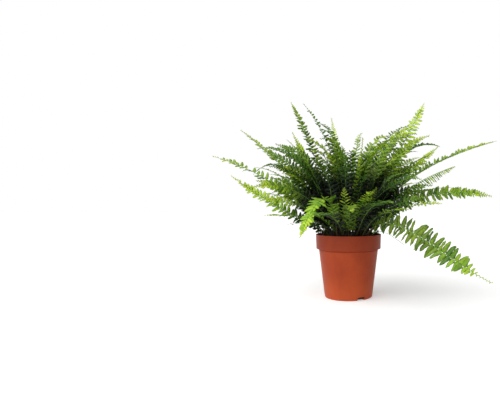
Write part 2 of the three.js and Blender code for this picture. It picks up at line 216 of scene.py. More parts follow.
class Growth(Net):
    """A Geometry Nodes tree with named inputs."""

    def __init__(self, name: str) -> None:
        """Starts the tree with its input node.

        Args:
            name: The tree's name.
        """
        super().__init__(bpy.data.node_groups.new(name, "GeometryNodeTree"))
        self.entry = self.tree.nodes.new("NodeGroupInput")
        self.body = self.take("Geometry", "NodeSocketGeometry")

    def take(self, name: str, kind: str) -> Wire:
        """Adds a named input of a socket type and gives its wire."""
        self.tree.interface.new_socket(name=name, in_out="INPUT", socket_type=kind)
        return Wire(self, self.entry.outputs[name])

    def give(self, geometry: Wire) -> bpy.types.NodeTree:
        """Ends the tree.

        Args:
            geometry: What the tree gives.

        Returns:
            The tree.
        """
        self.tree.interface.new_socket(name="Geometry", in_out="OUTPUT", socket_type="NodeSocketGeometry")
        end = self.tree.nodes.new("NodeGroupOutput")
        self.tree.links.new(geometry.socket, end.inputs[0])
        return self.tree

    def named(self, name: str, data_type: str = "FLOAT") -> Wire:
        """Reads a named attribute of the geometry."""
        return self.node("GeometryNodeInputNamedAttribute", {"data_type": data_type}, {"Name": name})

    def split(self, geometry: Wire, name: str) -> tuple[Wire, Wire]:
        """Parts geometry by a named attribute.

        Args:
            geometry: What is parted.
            name: The attribute, 1 or 0 at each point.

        Returns:
            The part where it is 1, and the rest.
        """
        chosen = self.node("FunctionNodeCompare", {}, {0: self.named(name), 1: 0.5})
        parted = self.node("GeometryNodeSeparateGeometry", {"domain": "POINT"},
                           {"Geometry": geometry, "Selection": chosen})
        return parted, Wire(self, parted.socket.node.outputs[1])

    def random(self, low: float, high: float, seed: Wire, shift: int) -> Wire:
        """Draws a number for each element, from low to high, with the seed plus a shift."""
        # Sockets 2 and 3 are the limits of plain numbers, and output 1 is the number
        sockets = {2: low, 3: high, "Seed": seed + shift}
        return self.node("FunctionNodeRandomValue", {"data_type": "FLOAT"}, sockets, 1)

    def tube(self, wires: Wire, sides: Wire, finish: Wire) -> Wire:
        """Makes closed round tubes along edges.

        Args:
            wires: Edges whose points have the attribute girth, the tube's radius.
            sides: The number of faces round a tube.
            finish: The tubes' material.

        Returns:
            The tubes.
        """
        path = self.node("GeometryNodeMeshToCurve", {}, {"Mesh": wires})
        ring = self.node("GeometryNodeCurvePrimitiveCircle", {}, {"Resolution": sides, "Radius": 1.0})
        made = self.node("GeometryNodeCurveToMesh", {}, {
            "Curve": path, "Profile Curve": ring, "Scale": self.named("girth"), "Fill Caps": True,
        })
        return self.node("GeometryNodeSetMaterial", {}, {"Geometry": made, "Material": finish})

    def scatter(self, points: Wire, forms: Wire, pick: Wire, finish: Wire, inputs: Sockets) -> Wire:
        """Puts one form of a collection on each point and makes them real.

        Args:
            points: Where they stand.
            forms: The collection.
            pick: The form's place in the collection.
            finish: The forms' material.
            inputs: The rotation and scale of each.

        Returns:
            The plain mesh of all of them.
        """
        choices = self.node("GeometryNodeCollectionInfo", {}, {
            "Collection": forms, "Separate Children": True, "Reset Children": True,
        })
        placed = self.node("GeometryNodeInstanceOnPoints", {}, {
            "Points": points, "Instance": choices, "Pick Instance": True, "Instance Index": pick, **inputs,
        })
        real = self.node("GeometryNodeRealizeInstances", {}, {"Geometry": placed})
        return self.node("GeometryNodeSetMaterial", {}, {"Geometry": real, "Material": finish})

    def smooth(self, geometry: Wire) -> Wire:
        """Shades geometry smooth."""
        return self.node("GeometryNodeSetShadeSmooth", {}, {"Geometry": geometry})


def scene_object(name: str, data: Any) -> bpy.types.Object:
    """Makes an object of a mesh, a light or a camera and links it into the scene.

    Args:
        name: The object's name.
        data: The mesh, the light or the camera.

    Returns:
        The object, at the origin.
    """
    made = bpy.data.objects.new(name, data)
    bpy.context.scene.collection.objects.link(made)
    return made


def mesh_object(name: str, vertices: Any, edges: Any = (), faces: Any = ()) -> bpy.types.Object:
    """Makes an object at the origin from plain lists.

    Args:
        name: The object's name.
        vertices: Its points.
        edges: Pairs of points.
        faces: Rounds of points.

    Returns:
        The object.
    """
    mesh = bpy.data.meshes.new(name)
    mesh.from_pydata([tuple(v) for v in vertices], edges, faces)
    return scene_object(name, mesh)


def chain(start: int, count: int) -> list[tuple[int, int]]:
    """Gives the edges that join a run of points, each to the next."""
    return [(i, i + 1) for i in range(start, start + count - 1)]


def band(start: int, count: int) -> list[tuple[int, ...]]:
    """Gives the faces between a closed round of points and the round that follows it."""
    return [(start + k, start + (k + 1) % count, start + count + (k + 1) % count, start + count + k)
            for k in range(count)]


def shelve(name: str, forms: list[bpy.types.Object]) -> bpy.types.Collection:
    """Moves objects from the scene to a collection that a tree picks from.

    Args:
        name: The collection's name.
        forms: The objects, in the order in which they are picked by number.

    Returns:
        The collection.
    """
    shelf = bpy.data.collections.new(name)
    for form in forms:
        bpy.context.scene.collection.objects.unlink(form)
        shelf.objects.link(form)
    return shelf


def clear_shelf(shelf: bpy.types.Collection) -> None:
    """Removes the objects of a collection."""
    for form in list(shelf.objects):
        bpy.data.objects.remove(form)


def set_attribute(made: bpy.types.Object, name: str, values: Array) -> None:
    """Stores a number or a vector for each point of an object's mesh.

    Args:
        made: The object.
        name: The attribute's name.
        values: A number or a row of three for each point.
    """
    values = np.asarray(values, np.float32)
    kind, field = ("FLOAT_VECTOR", "vector") if values.ndim == 2 else ("FLOAT", "value")
    made.data.attributes.new(name, kind, "POINT").data.foreach_set(field, values.ravel())


def turn_faces_out(made: bpy.types.Object, double: float = 1e-7) -> None:
    """Merges doubled points of a closed mesh and turns all its faces outwards.

    Args:
        made: The object.
        double: The distance up to which two points are one.
    """
    work = bmesh.new()
    work.from_mesh(made.data)
    bmesh.ops.remove_doubles(work, verts=work.verts, dist=double)
    bmesh.ops.recalc_face_normals(work, faces=work.faces)
    work.to_mesh(made.data)
    work.free()


def grow(made: bpy.types.Object, tree: bpy.types.NodeTree, values: Settings) -> None:
    """Runs a Geometry Nodes tree on an object and keeps the plain mesh that it gives.

    Args:
        made: The object, whose mesh is replaced.
        tree: The tree.
        values: The values of its inputs, by name.
    """
    modifier = made.modifiers.new("Growth", "NODES")
    modifier.node_group = tree
    for item in tree.interface.items_tree:
        if item.in_out == "INPUT" and item.name in values:
            modifier[item.identifier] = values[item.name]
    keep_evaluated(made)


def keep_evaluated(made: bpy.types.Object) -> None:
    """Applies all modifiers of an object.

    Args:
        made: The object, whose mesh is replaced.
    """
    graph = bpy.context.evaluated_depsgraph_get()
    mesh = bpy.data.meshes.new_from_object(
        made.evaluated_get(graph), preserve_all_data_layers=True, depsgraph=graph)
    made.modifiers.clear()
    made.data = mesh


@dataclass(frozen=True)
class Pattern:
    """A noise: patches per metre, finer layers, how strong those are, and its squeeze along each axis."""

    scale: float
    detail: float = 3.0
    roughness: float = 0.5
    stretch: Spot = (1, 1, 1)


class Finish(Net):
    """A material: a Principled shader and the nodes that feed it."""

    def __init__(self, name: str, **constants: Any) -> None:
        """Starts the material.

        Args:
            name: Its name.
            constants: What is the same all over, by the shader's socket names with _ for spaces.
        """
        self.material = bpy.data.materials.new(name)
        self.material.use_nodes = True
        super().__init__(self.material.node_tree)
        self.shader = self.tree.nodes["Principled BSDF"]
        for socket, value in constants.items():
            self.shader.inputs[socket.replace("_", " ")].default_value = value
        self.place = self.node("ShaderNodeTexCoord", output="Object")

    def noise(self, pattern: Pattern) -> Wire:
        """Lays a noise over the piece.

        Args:
            pattern: The noise's looks.

        Returns:
            The noise, about 0.5.
        """
        spot = self.node("ShaderNodeMapping", {}, {"Vector": self.place, "Scale": pattern.stretch})
        return self.node("ShaderNodeTexNoise", {}, {
            "Vector": spot, "Scale": pattern.scale, "Detail": pattern.detail, "Roughness": pattern.roughness,
        })

    def attribute(self, name: str, output: str = "Fac") -> Wire:
        """Reads an attribute of the mesh."""
        settings = {"attribute_type": "GEOMETRY", "attribute_name": name}
        return self.node("ShaderNodeAttribute", settings, output=output)

    def parts(self, vector: Wire) -> list[Wire]:
        """Parts a vector into its three numbers."""
        apart = self.node("ShaderNodeSeparateXYZ", {}, {0: vector}).socket.node
        return [Wire(self, socket) for socket in apart.outputs]

    def mix(self, share: Any, first: Any, second: Any) -> Wire:
        """Mixes two colours, the second as strong as the share."""
        # Sockets 6 and 7 are the colours to mix, and output 2 is the mixed one
        return self.node("ShaderNodeMix", {"data_type": "RGBA"}, {0: share, 6: first, 7: second}, 2)

    def dress(self, base: Wire, roughness: Wire, height: Wire, depth: float, strength: float) -> None:
        """Feeds the shader.

        Args:
            base: Its colour.
            roughness: Its roughness.
            height: The relief, from 0 to 1.
            depth: How deep the relief is.
            strength: How strongly it shows.
        """
        bump = self.node("ShaderNodeBump", {}, {"Height": height, "Distance": depth, "Strength": strength})
        for name, wire in (("Base Color", base), ("Roughness", roughness), ("Normal", bump)):
            self.tree.links.new(wire.socket, self.shader.inputs[name])


@dataclass(frozen=True)
class LeafFinish:
    """The skin of a frond's leaflets: dark at its foot, light yellow-green at its tip, partly paler new
    growth and partly painted backlight, and near black with painted shade in the middle of the bush.

    The colours are as seen on a screen, and a cover is how strongly one of them hides what is under it.
    Two numbers of a range are where something starts and where it is whole.
    """

    tone: Tone
    foot: int
    middle: int
    tip: int
    vein: int
    underside: int
    # The near-black painted shade of leaflets deep in the bush
    painted_shade: int = 0x081106
    glow: float = 0.25
    glow_depth: float = 0.0012
    glow_hues: Spot = (0.6, 1.0, 0.15)
    gloss: float = 0.3
    mottle: Pattern = Pattern(240, 4.0)
    middle_range: Range = (0.0, 0.55)
    tip_power: float = 3.0
    tip_cover: float = 0.55
    tip_cover_by_tint: float = 0.45
    mottle_cover: float = 0.6
    dull_range: Range = (0.5, 0.9)
    dull_cover: float = 0.55
    vein_narrowness: float = 11.0
    vein_cover: float = 0.4
    underside_range: Range = (0.5, 1.0)
    underside_cover: float = 0.45
    painted_shade_cover: float = 0.96
    side_veins: float = 14.0
    side_vein_slant: float = 2.2
    ripple_relief: float = 0.3
    mottle_relief: float = 0.3
    vein_relief: float = 0.5
    relief: float = 0.0002
    relief_strength: float = 0.5
    roughness: float = 0.37
    mottle_roughness: float = 0.2
    heart_roughness: float = 0.25

    def make(self) -> bpy.types.Material:
        """Builds the material.

        Returns:
            The material, which reads the attributes share, tint, depth and blade.
        """
        skin = Finish(self.tone.value, Subsurface_Weight=self.glow, Subsurface_Scale=self.glow_depth,
                      Subsurface_Radius=self.glow_hues, Specular_IOR_Level=self.gloss)
        share = skin.attribute("share")
        tint = skin.attribute("tint")
        across, along, under = skin.parts(skin.attribute("blade", "Vector"))
        mottle = skin.noise(self.mottle)
        tip_cover = self.tip_cover + self.tip_cover_by_tint * tint
        base = skin.mix(share.ramp(*self.middle_range), colour(self.foot), colour(self.middle))
        # Towards the tip, light yellow-green: partly paler new growth and partly painted backlight
        base = skin.mix((share ** self.tip_power) * tip_cover, base, colour(self.tip))
        base = skin.mix(tint * mottle * self.mottle_cover, base, colour(self.tip))
        base = skin.mix((1 - tint).ramp(*self.dull_range) * self.dull_cover, base, colour(self.foot))
        midrib = (1 - abs(across) * self.vein_narrowness).maths("MAXIMUM", 0.0)
        base = skin.mix(midrib * self.vein_cover, base, colour(self.vein))
        base = skin.mix(under.ramp(*self.underside_range) * self.underside_cover, base,
                        colour(self.underside))
        # Painted shade: leaflets deep in the bush turn near black
        base = skin.mix(skin.attribute("depth") * self.painted_shade_cover, base, colour(self.painted_shade))
        ripple = ((along * self.side_veins + abs(across) * self.side_vein_slant) * math.tau).maths("SINE")
        height = 0.5 + ripple * self.ripple_relief + mottle * self.mottle_relief - midrib * self.vein_relief
        rough = self.roughness + self.mottle_roughness * mottle
        rough = rough + self.heart_roughness * skin.attribute("depth")
        skin.dress(base, rough, height, self.relief, self.relief_strength)
        return skin.material


@dataclass(frozen=True)
class RibFinish:
    """The skin of stipes and ribs, brown at the soil and green further up, and darker with painted shade
    in the middle of the bush.
    """

    name: str
    foot: int
    top: int
    # The dark painted shade of ribs deep in the bush
    painted_shade: int = 0x0E1207
    glow: float = 0.1
    glow_depth: float = 0.001
    gloss: float = 0.3
    grain: Pattern = Pattern(900, 3.0, 0.6, (1, 1, 0.15))
    top_range: Range = (0.02, 0.4)
    grain_range: Range = (0.5, 0.8)
    grain_cover: float = 0.4
    painted_shade_cover: float = 0.4
    roughness: float = 0.4
    grain_roughness: float = 0.25
    relief: float = 0.0001
    relief_strength: float = 0.4

    def make(self) -> bpy.types.Material:
        """Builds the material.

        Returns:
            The material, which reads the attributes share and depth.
        """
        skin = Finish(self.name, Subsurface_Weight=self.glow, Subsurface_Scale=self.glow_depth,
                      Specular_IOR_Level=self.gloss)
        grain = skin.noise(self.grain)
        base = skin.mix(skin.attribute("share").ramp(*self.top_range), colour(self.foot), colour(self.top))
        base = skin.mix(grain.ramp(*self.grain_range) * self.grain_cover, base, colour(self.foot))
        # Painted shade: ribs deep in the bush turn darker
        base = skin.mix(skin.attribute("depth") * self.painted_shade_cover, base, colour(self.painted_shade))
        rough = self.roughness + self.grain_roughness * grain
        skin.dress(base, rough, grain, self.relief, self.relief_strength)
        return skin.material


@dataclass(frozen=True)
class PlasticFinish:
    """Moulded terracotta-brown plastic with a satin face and light scuffs, a foot lighter with painted light
    from the floor, a collar darker with painted shade, and soil dust and painted shade inside the rim.
    """

    clouds: Pattern = Pattern(22)
    flow: Pattern = Pattern(60, 4.0, 0.6, (1, 1, 0.12))
    scuffs: Pattern = Pattern(420, 5.0, 0.7)
    grain: Pattern = Pattern(1500, 2.0)
    body: int = 0xA0411F
    shade: int = 0x8A3419
    cloud_share: float = 0.6
    flow_share: float = 0.4
    body_range: Range = (0.3, 0.7)
    # Painted light bounced from the floor: lighter towards the bottom of the foot
    foot: int = 0xC35A2E
    bounce_light_heights: Range = (0.0, 0.050)
    bounce_light_cover: float = 0.35
    # Painted shade: the collar is darker than the body
    collar: int = 0x6D2817
    collar_shade_heights: Range = (0.087, 0.089)
    collar_shade_cover: float = 0.5
    scuff: int = 0xB85526
    scuff_range: Range = (0.62, 0.75)
    scuff_cover: float = 0.35
    # Soil dust and painted shade: near black inside the rim above the soil
    dust_and_shade: int = 0x1A110B
    dust_radii: Range = (0.0582, 0.0588)
    dust_foot: Range = (0.095, 0.096)
    dust_top: Range = (0.1116, 0.1146)
    dust_range: Range = (0.2, 0.45)
    dust_and_shade_cover: float = 0.95
    glow: float = 0.04
    glow_depth: float = 0.001
    gloss: float = 0.12
    roughness: float = 0.36
    flow_roughness: float = 0.14
    scuff_roughness: float = 0.12
    rough_range: Range = (0.5, 0.8)
    relief: float = 0.00006
    relief_strength: float = 0.35

    def make(self) -> bpy.types.Material:
        """Builds the material.

        Returns:
            The material.
        """
        skin = Finish("terracotta_plastic", Subsurface_Weight=self.glow, Subsurface_Scale=self.glow_depth,
                      Specular_IOR_Level=self.gloss)
        x, y, z = skin.parts(skin.place)
        flow = skin.noise(self.flow)
        wear = skin.noise(self.scuffs)
        tone = (skin.noise(self.clouds) * self.cloud_share + flow * self.flow_share).ramp(*self.body_range)
        base = skin.mix(tone, colour(self.shade), colour(self.body))
        # Painted light from the floor, lighter towards the bottom
        base = skin.mix((1 - z.ramp(*self.bounce_light_heights)) * self.bounce_light_cover, base, colour(self.foot))
        # Painted shade on the collar
        base = skin.mix(z.ramp(*self.collar_shade_heights) * self.collar_shade_cover, base, colour(self.collar))
        base = skin.mix(wear.ramp(*self.scuff_range) * self.scuff_cover, base, colour(self.scuff))
        # Soil dust and painted shade inside the rim, above the soil
        inside = 1 - (x * x + y * y).maths("SQRT").ramp(*self.dust_radii)
        level = (1 - z.ramp(*self.dust_top)) * z.ramp(*self.dust_foot)
        dust_and_shade = inside * level * wear.ramp(*self.dust_range) * self.dust_and_shade_cover
        base = skin.mix(dust_and_shade, base, colour(self.dust_and_shade))
        rough = self.roughness + self.flow_roughness * flow
        rough = rough + self.scuff_roughness * wear.ramp(*self.rough_range)
        skin.dress(base, rough, skin.noise(self.grain), self.relief, self.relief_strength)
        return skin.material


@dataclass(frozen=True)
class PeatFinish:
    """Damp peat, near black, with browner crumbs."""

    deep: int = 0x17100B
    crumb: int = 0x3D2A1B
    fibre: int = 0x6A4A2C
    clods: Pattern = Pattern(350, 5.0, 0.65)
    specks: Pattern = Pattern(1400, 2.0)
    tint_share: float = 0.25
    crumb_range: Range = (0.45, 0.8)
    fibre_range: Range = (0.66, 0.76)
    fibre_cover: float = 0.6
    gloss: float = 0.25
    roughness: float = 0.8
    speck_roughness: float = 0.15
    relief: float = 0.0012
    relief_strength: float = 0.9

    def make(self) -> bpy.types.Material:
        """Builds the material.

        Returns:
            The material, which reads the attribute tint where there is one.
        """
        skin = Finish("peat", Specular_IOR_Level=self.gloss)
        clod = skin.noise(self.clods)
        speck = skin.noise(self.specks)
        brown = (clod + skin.attribute("tint") * self.tint_share).ramp(*self.crumb_range)
        base = skin.mix(brown, colour(self.deep), colour(self.crumb))
        base = skin.mix(speck.ramp(*self.fibre_range) * self.fibre_cover, base, colour(self.fibre))
        rough = self.roughness + self.speck_roughness * speck
        skin.dress(base, rough, clod, self.relief, self.relief_strength)
        return skin.material


@dataclass(frozen=True)
class FloorFinish:
    """A plain pale floor, which glows a little so that it is near white."""

    pale: int = 0xDADAD9
    plain: float = 0.72
    glow: float = 0.38
    clouds: Pattern = Pattern(3, 2.0)
    roughness: float = 0.6
    cloud_roughness: float = 0.1
    relief: float = 0.0001
    relief_strength: float = 0.1

    def make(self) -> bpy.types.Material:
        """Builds the material.

        Returns:
            The material.
        """
        skin = Finish("pale_floor", Emission_Strength=self.glow)
        cloud = skin.noise(self.clouds)
        base = skin.mix(cloud, colour(self.pale), (self.plain, self.plain, self.plain, 1.0))
        rough = self.roughness + self.cloud_roughness * cloud
        skin.dress(base, rough, cloud, self.relief, self.relief_strength)
        return skin.material


@dataclass(frozen=True)
class LeafletForm:
    """One shape of leaflet, drawn one long and one wide, with a lobe at its foot on the side of the tip.

    bend, curl and twist bow it sideways, down and about its midrib, and wave and phase ripple its edges.
    narrowing and bluntness shape its outline: the higher the bluntness, the rounder its tip. start and base
    shape its foot: a low start sets the first row close to the rib, and a low base widens it at once.
    """

    bend: float
    curl: float
    twist: float
    wave: float
    phase: float
    narrowing: float = 0.2
    bluntness: float = 4.0
    rows: int = 8
    lobe: float = 0.3
    lobe_place: float = 0.09
    lobe_length: float = 0.07
    start: float = 1.0
    base: float = 0.06
    tip_power: float = 0.6
    evenness: float = 0.6
    tooth: float = 0.05
    ripples: float = 1.5
    camber: float = 0.035
    half_thickness: float = 0.009
    middle_thickness: float = 0.55
    slimness: float = 0.36
    section: tuple[tuple[float, int], ...] = ((-1, 0), (-0.5, 1), (0, 1), (0.5, 1), (1, 0), (0, -1))

    def half_width(self, along: float, row: int) -> float:
        """Gives half the leaflet's width.

        Args:
            along: A share of its length.
            row: The section's number there. Every other one is a tooth.

        Returns:
            Half the width.
        """
        outline = (1 - self.narrowing * along) * (1 - along ** self.bluntness) ** self.tip_power
        return 0.5 * math.sqrt(min(1.0, along / self.base)) * outline * (1 + self.tooth * (-1) ** row)

    def ring(self, row: int) -> list[tuple[Array, Array]]:
        """Gives one section: its points and what the skin reads there.

        Args:
            row: The section's number from the foot.

        Returns:
            Pairs of a point and its blade vector (across, along, under).
        """
        even = (row - 1 + self.start) / (self.rows + self.start)
        eased = 0.5 * (1 - math.cos(math.pi * even))
        along = self.evenness * even + (1 - self.evenness) * eased
        half = self.half_width(along, row)
        lobe = self.lobe * math.exp(-((along - self.lobe_place) / self.lobe_length) ** 2)
        points = []
        for across, face in self.section:
            x = across * (half + (lobe if across > 0 else 0))
            angle = self.ripples * math.tau * along + self.phase + across
            z = self.wave * across ** 2 * math.sin(angle)
            z = z - self.camber * across ** 2 - self.curl * along ** 2
            z += face * self.half_thickness * (1 if across else self.middle_thickness)
            turn = self.twist * along
            z += x * self.slimness * math.sin(turn)
            x = x * math.cos(turn) + self.bend * along ** 2
            points.append((np.array([x, along, z]), np.array([across, along, (1 - face) / 2])))
        return points

    def make(self, name: str, mirrored: bool) -> bpy.types.Object:
        """Makes the closed leaflet.

        Args:
            name: The object's name.
            mirrored: Whether it is for the rib's other side.

        Returns:
            The object.
        """
        flat = [pair for row in range(1, self.rows + 1) for pair in self.ring(row)]
        sides = len(self.section)
        foot, tip, last = len(flat), len(flat) + 1, len(flat) - sides
        flat += [(np.array([0.0, 0.0, 0.0]), np.array([0.0, 0.0, 0.5])),
                 (np.array([self.bend, 1.0, -self.curl]), np.array([0.0, 1.0, 0.5]))]
        faces = [face for row in range(self.rows - 1) for face in band(row * sides, sides)]
        for k in range(sides):
            after = (k + 1) % sides
            faces.append((foot, after, k))
            faces.append((tip, last + k, last + after))
        mirror = np.array([-1 if mirrored else 1, 1, 1])
        made = mesh_object(name, [point * mirror for point, _ in flat], (), faces)
        set_attribute(made, "blade", np.array([blade for _, blade in flat]))
        turn_faces_out(made)
        return made


@dataclass(frozen=True)
class FrondRow:
    """One frond. Its tip stands at an azimuth (0 is right, 90 is back), a reach from the axis and a height.

    It leaves the soil at the elevation rise and ends at the elevation end. half is half its blade's width,
    roll turns the blade about its rib, arch says how strongly it arches and bare is the share of the rib
    with no leaflets. taper says how late the blade narrows: the higher, the blunter its tip. turned is how
    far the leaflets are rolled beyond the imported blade, and blunt ones have rounded tips. pitch is their
    spacing, fill their width as a share of it, sweep how far they lean towards the tip, and lean how much
    more the left ones do so than the right ones. lift is how far they rise out of the blade's plane, and
    loose how unevenly they are turned. foot is the share of the blade over which they grow to their full
    length, and thin the share after which they are tiny. missing is the share that has dropped off, and
    ripe says how near to the tip the yellow-green begins. open is 1 for a frond that stands out of the
    bush's shade. Angles are in degrees.
    """

    azimuth: float
    reach: float
    height: float
    rise: float
    end: float
    half: float
    tone: Tone
    roll: float = 0.0
    arch: float = 0.36
    bare: float = 0.22
    taper: float = 2.6
    turned: float = 0.0
    blunt: bool = False
    pitch: float = 0.0076
    fill: float = 0.76
    sweep: float = 0.28
    lean: float = 0.0
    lift: float = 16.0
    loose: float = 13.0
    foot: float = 0.3
    thin: float = 1.0
    missing: float = 0.03
    ripe: float = 1.3
    open: float = 0.0


FRONDS = (
    FrondRow(306, 0.310, 0.071, 50, -15, 0.022, Tone.LEAF, roll=70, taper=5.5, blunt=True, pitch=0.0094,
             fill=0.85, sweep=0.02, lean=0.22, loose=21, foot=0.4, thin=0.92, missing=0.0, ripe=3.0,
             open=0.6),
    FrondRow(353, 0.256, 0.184, 58, -14, 0.017, Tone.LEAF, roll=62, taper=3.4, blunt=True, pitch=0.0062,
             fill=0.98, loose=19, foot=0.7, ripe=2.4),
    FrondRow(356, 0.268, 0.284, 67, 15, 0.017, Tone.LEAF, taper=4, turned=12, pitch=0.0052, fill=0.95,
             sweep=0.15, lift=28, ripe=1.2),
    FrondRow(352, 0.138, 0.352, 66, 62, 0.018, Tone.FRESH, roll=35, taper=5, turned=30, pitch=0.0084,
             fill=0.64, sweep=0.05, lift=-6),
    FrondRow(175, 0.108, 0.360, 76, 64, 0.016, Tone.LEAF, roll=-15, taper=6, turned=-13, pitch=0.0066,
             sweep=0.1, missing=0.0, ripe=2.4),
    FrondRow(176, 0.257, 0.260, 44, 14, 0.018, Tone.LEAF, roll=-20, turned=-15, pitch=0.0098, fill=0.66,
             missing=0.12),
    FrondRow(172, 0.209, 0.312, 66, 38, 0.018, Tone.LEAF, roll=-25, ripe=0.9),
    FrondRow(191, 0.210, 0.220, 30, 37, 0.017, Tone.FRESH, roll=-45, fill=0.9, sweep=0.15, ripe=0.9),
    FrondRow(167, 0.088, 0.360, 88, 48, 0.017, Tone.DEEP, turned=-14, pitch=0.0086, fill=0.5, sweep=0.1),
    FrondRow(25, 0.145, 0.325, 82, 2, 0.018, Tone.DEEP, turned=14, fill=0.6),
    FrondRow(10, 0.178, 0.280, 80, -18, 0.017, Tone.DEEP, taper=4, turned=12, pitch=0.0052, fill=0.95,
             sweep=0.1, lift=28),
    FrondRow(292, 0.065, 0.283, 86, 80, 0.015, Tone.FRESH, taper=1.5, turned=25, ripe=0.9, open=0.4),
    FrondRow(122, 0.118, 0.336, 86, 5, 0.016, Tone.DEEP),
    FrondRow(104, 0.155, 0.358, 80, 54, 0.013, Tone.FRESH),
    FrondRow(183, 0.172, 0.224, 80, -50, 0.018, Tone.DEEP, arch=0.42),
    FrondRow(152, 0.126, 0.312, 72, 62, 0.015, Tone.FRESH, turned=-25, fill=0.9),
    FrondRow(195, 0.114, 0.285, 66, 40, 0.016, Tone.LEAF),
    FrondRow(342, 0.191, 0.235, 60, 18, 0.017, Tone.LEAF, bare=0.4, taper=4, pitch=0.0080, fill=0.36,
             sweep=0.3, lift=-52, loose=6, missing=0.0),
    FrondRow(329, 0.177, 0.171, 50, -5, 0.016, Tone.LEAF, turned=30, pitch=0.0066, fill=0.5, ripe=0.9),
    FrondRow(235, 0.134, 0.118, 86, -62, 0.019, Tone.FRESH, arch=0.95, taper=5, pitch=0.0064, fill=1.2,
             ripe=3.0, missing=0.0, open=0.9),
    FrondRow(262, 0.055, 0.198, 86, 60, 0.0145, Tone.FRESH, pitch=0.0070, fill=0.36, sweep=0.45, loose=7,
             missing=0.0, ripe=0.5, open=1.0),
    FrondRow(300, 0.093, 0.198, 76, 40, 0.013, Tone.LEAF, pitch=0.0068, fill=0.44, sweep=0.4, loose=8,
             ripe=1.7, open=0.6),
    FrondRow(272, 0.150, 0.158, 70, -35, 0.015, Tone.LEAF, ripe=3.0, open=0.7),
    FrondRow(227, 0.084, 0.152, 62, 5, 0.012, Tone.LEAF, open=0.7),
    FrondRow(318, 0.084, 0.150, 62, 5, 0.012, Tone.DEEP),
    FrondRow(20, 0.190, 0.284, 60, 40, 0.011, Tone.FRESH, taper=5, turned=55, pitch=0.0066, fill=0.9),
    FrondRow(288, 0.126, 0.216, 74, 15, 0.016, Tone.FRESH, ripe=1.4, open=0.95),
    FrondRow(216, 0.110, 0.258, 84, 5, 0.015, Tone.DEEP),
    FrondRow(207, 0.112, 0.134, 58, -20, 0.010, Tone.DEEP),
    FrondRow(276, 0.068, 0.149, 70, 15, 0.009, Tone.LEAF, turned=40, ripe=0.9, open=0.9),
    FrondRow(216, 0.165, 0.176, 58, 0, 0.017, Tone.LEAF),
    FrondRow(248, 0.175, 0.178, 62, -8, 0.017, Tone.DEEP),
    FrondRow(207, 0.150, 0.240, 72, 8, 0.017, Tone.DEEP),
    FrondRow(318, 0.150, 0.215, 70, 5, 0.017, Tone.DEEP),
    FrondRow(325, 0.105, 0.290, 82, 20, 0.017, Tone.LEAF, open=0.5),
    FrondRow(286, 0.190, 0.172, 60, -10, 0.017, Tone.DEEP, ripe=2.5),
    FrondRow(334, 0.150, 0.258, 74, 15, 0.014, Tone.DEEP),
    FrondRow(42, 0.090, 0.150, 62, 5, 0.012, Tone.LEAF),
    FrondRow(93, 0.092, 0.156, 62, 5, 0.012, Tone.FRESH),
    FrondRow(147, 0.090, 0.152, 62, 5, 0.012, Tone.LEAF),
    FrondRow(40, 0.190, 0.215, 62, 5, 0.018, Tone.LEAF),
    FrondRow(60, 0.215, 0.190, 56, -10, 0.018, Tone.DEEP),
    FrondRow(82, 0.225, 0.200, 56, -6, 0.018, Tone.LEAF),
    FrondRow(104, 0.215, 0.185, 56, -12, 0.018, Tone.DEEP),
    FrondRow(125, 0.210, 0.195, 58, -6, 0.018, Tone.LEAF),
    FrondRow(145, 0.205, 0.225, 60, 5, 0.018, Tone.DEEP),
    FrondRow(50, 0.140, 0.300, 78, 15, 0.017, Tone.DEEP),
    FrondRow(75, 0.110, 0.318, 84, 10, 0.017, Tone.LEAF, taper=1.3, ripe=0.9),
    FrondRow(95, 0.140, 0.298, 80, -5, 0.017, Tone.DEEP),
    FrondRow(136, 0.150, 0.282, 76, 5, 0.017, Tone.DEEP),
    FrondRow(160, 0.175, 0.205, 58, -8, 0.016, Tone.LEAF),
    FrondRow(28, 0.150, 0.195, 60, 0, 0.016, Tone.LEAF),
    FrondRow(70, 0.170, 0.238, 68, 5, 0.016, Tone.FRESH),
    FrondRow(115, 0.185, 0.250, 66, 5, 0.013, Tone.LEAF),
    FrondRow(308, 0.165, 0.178, 62, -5, 0.014, Tone.LEAF),
    FrondRow(240, 0.050, 0.282, 88, 10, 0.015, Tone.DEEP),
    FrondRow(160, 0.190, 0.250, 64, 5, 0.012, Tone.LEAF),
    FrondRow(0, 0.190, 0.225, 64, 0, 0.012, Tone.FRESH),
)


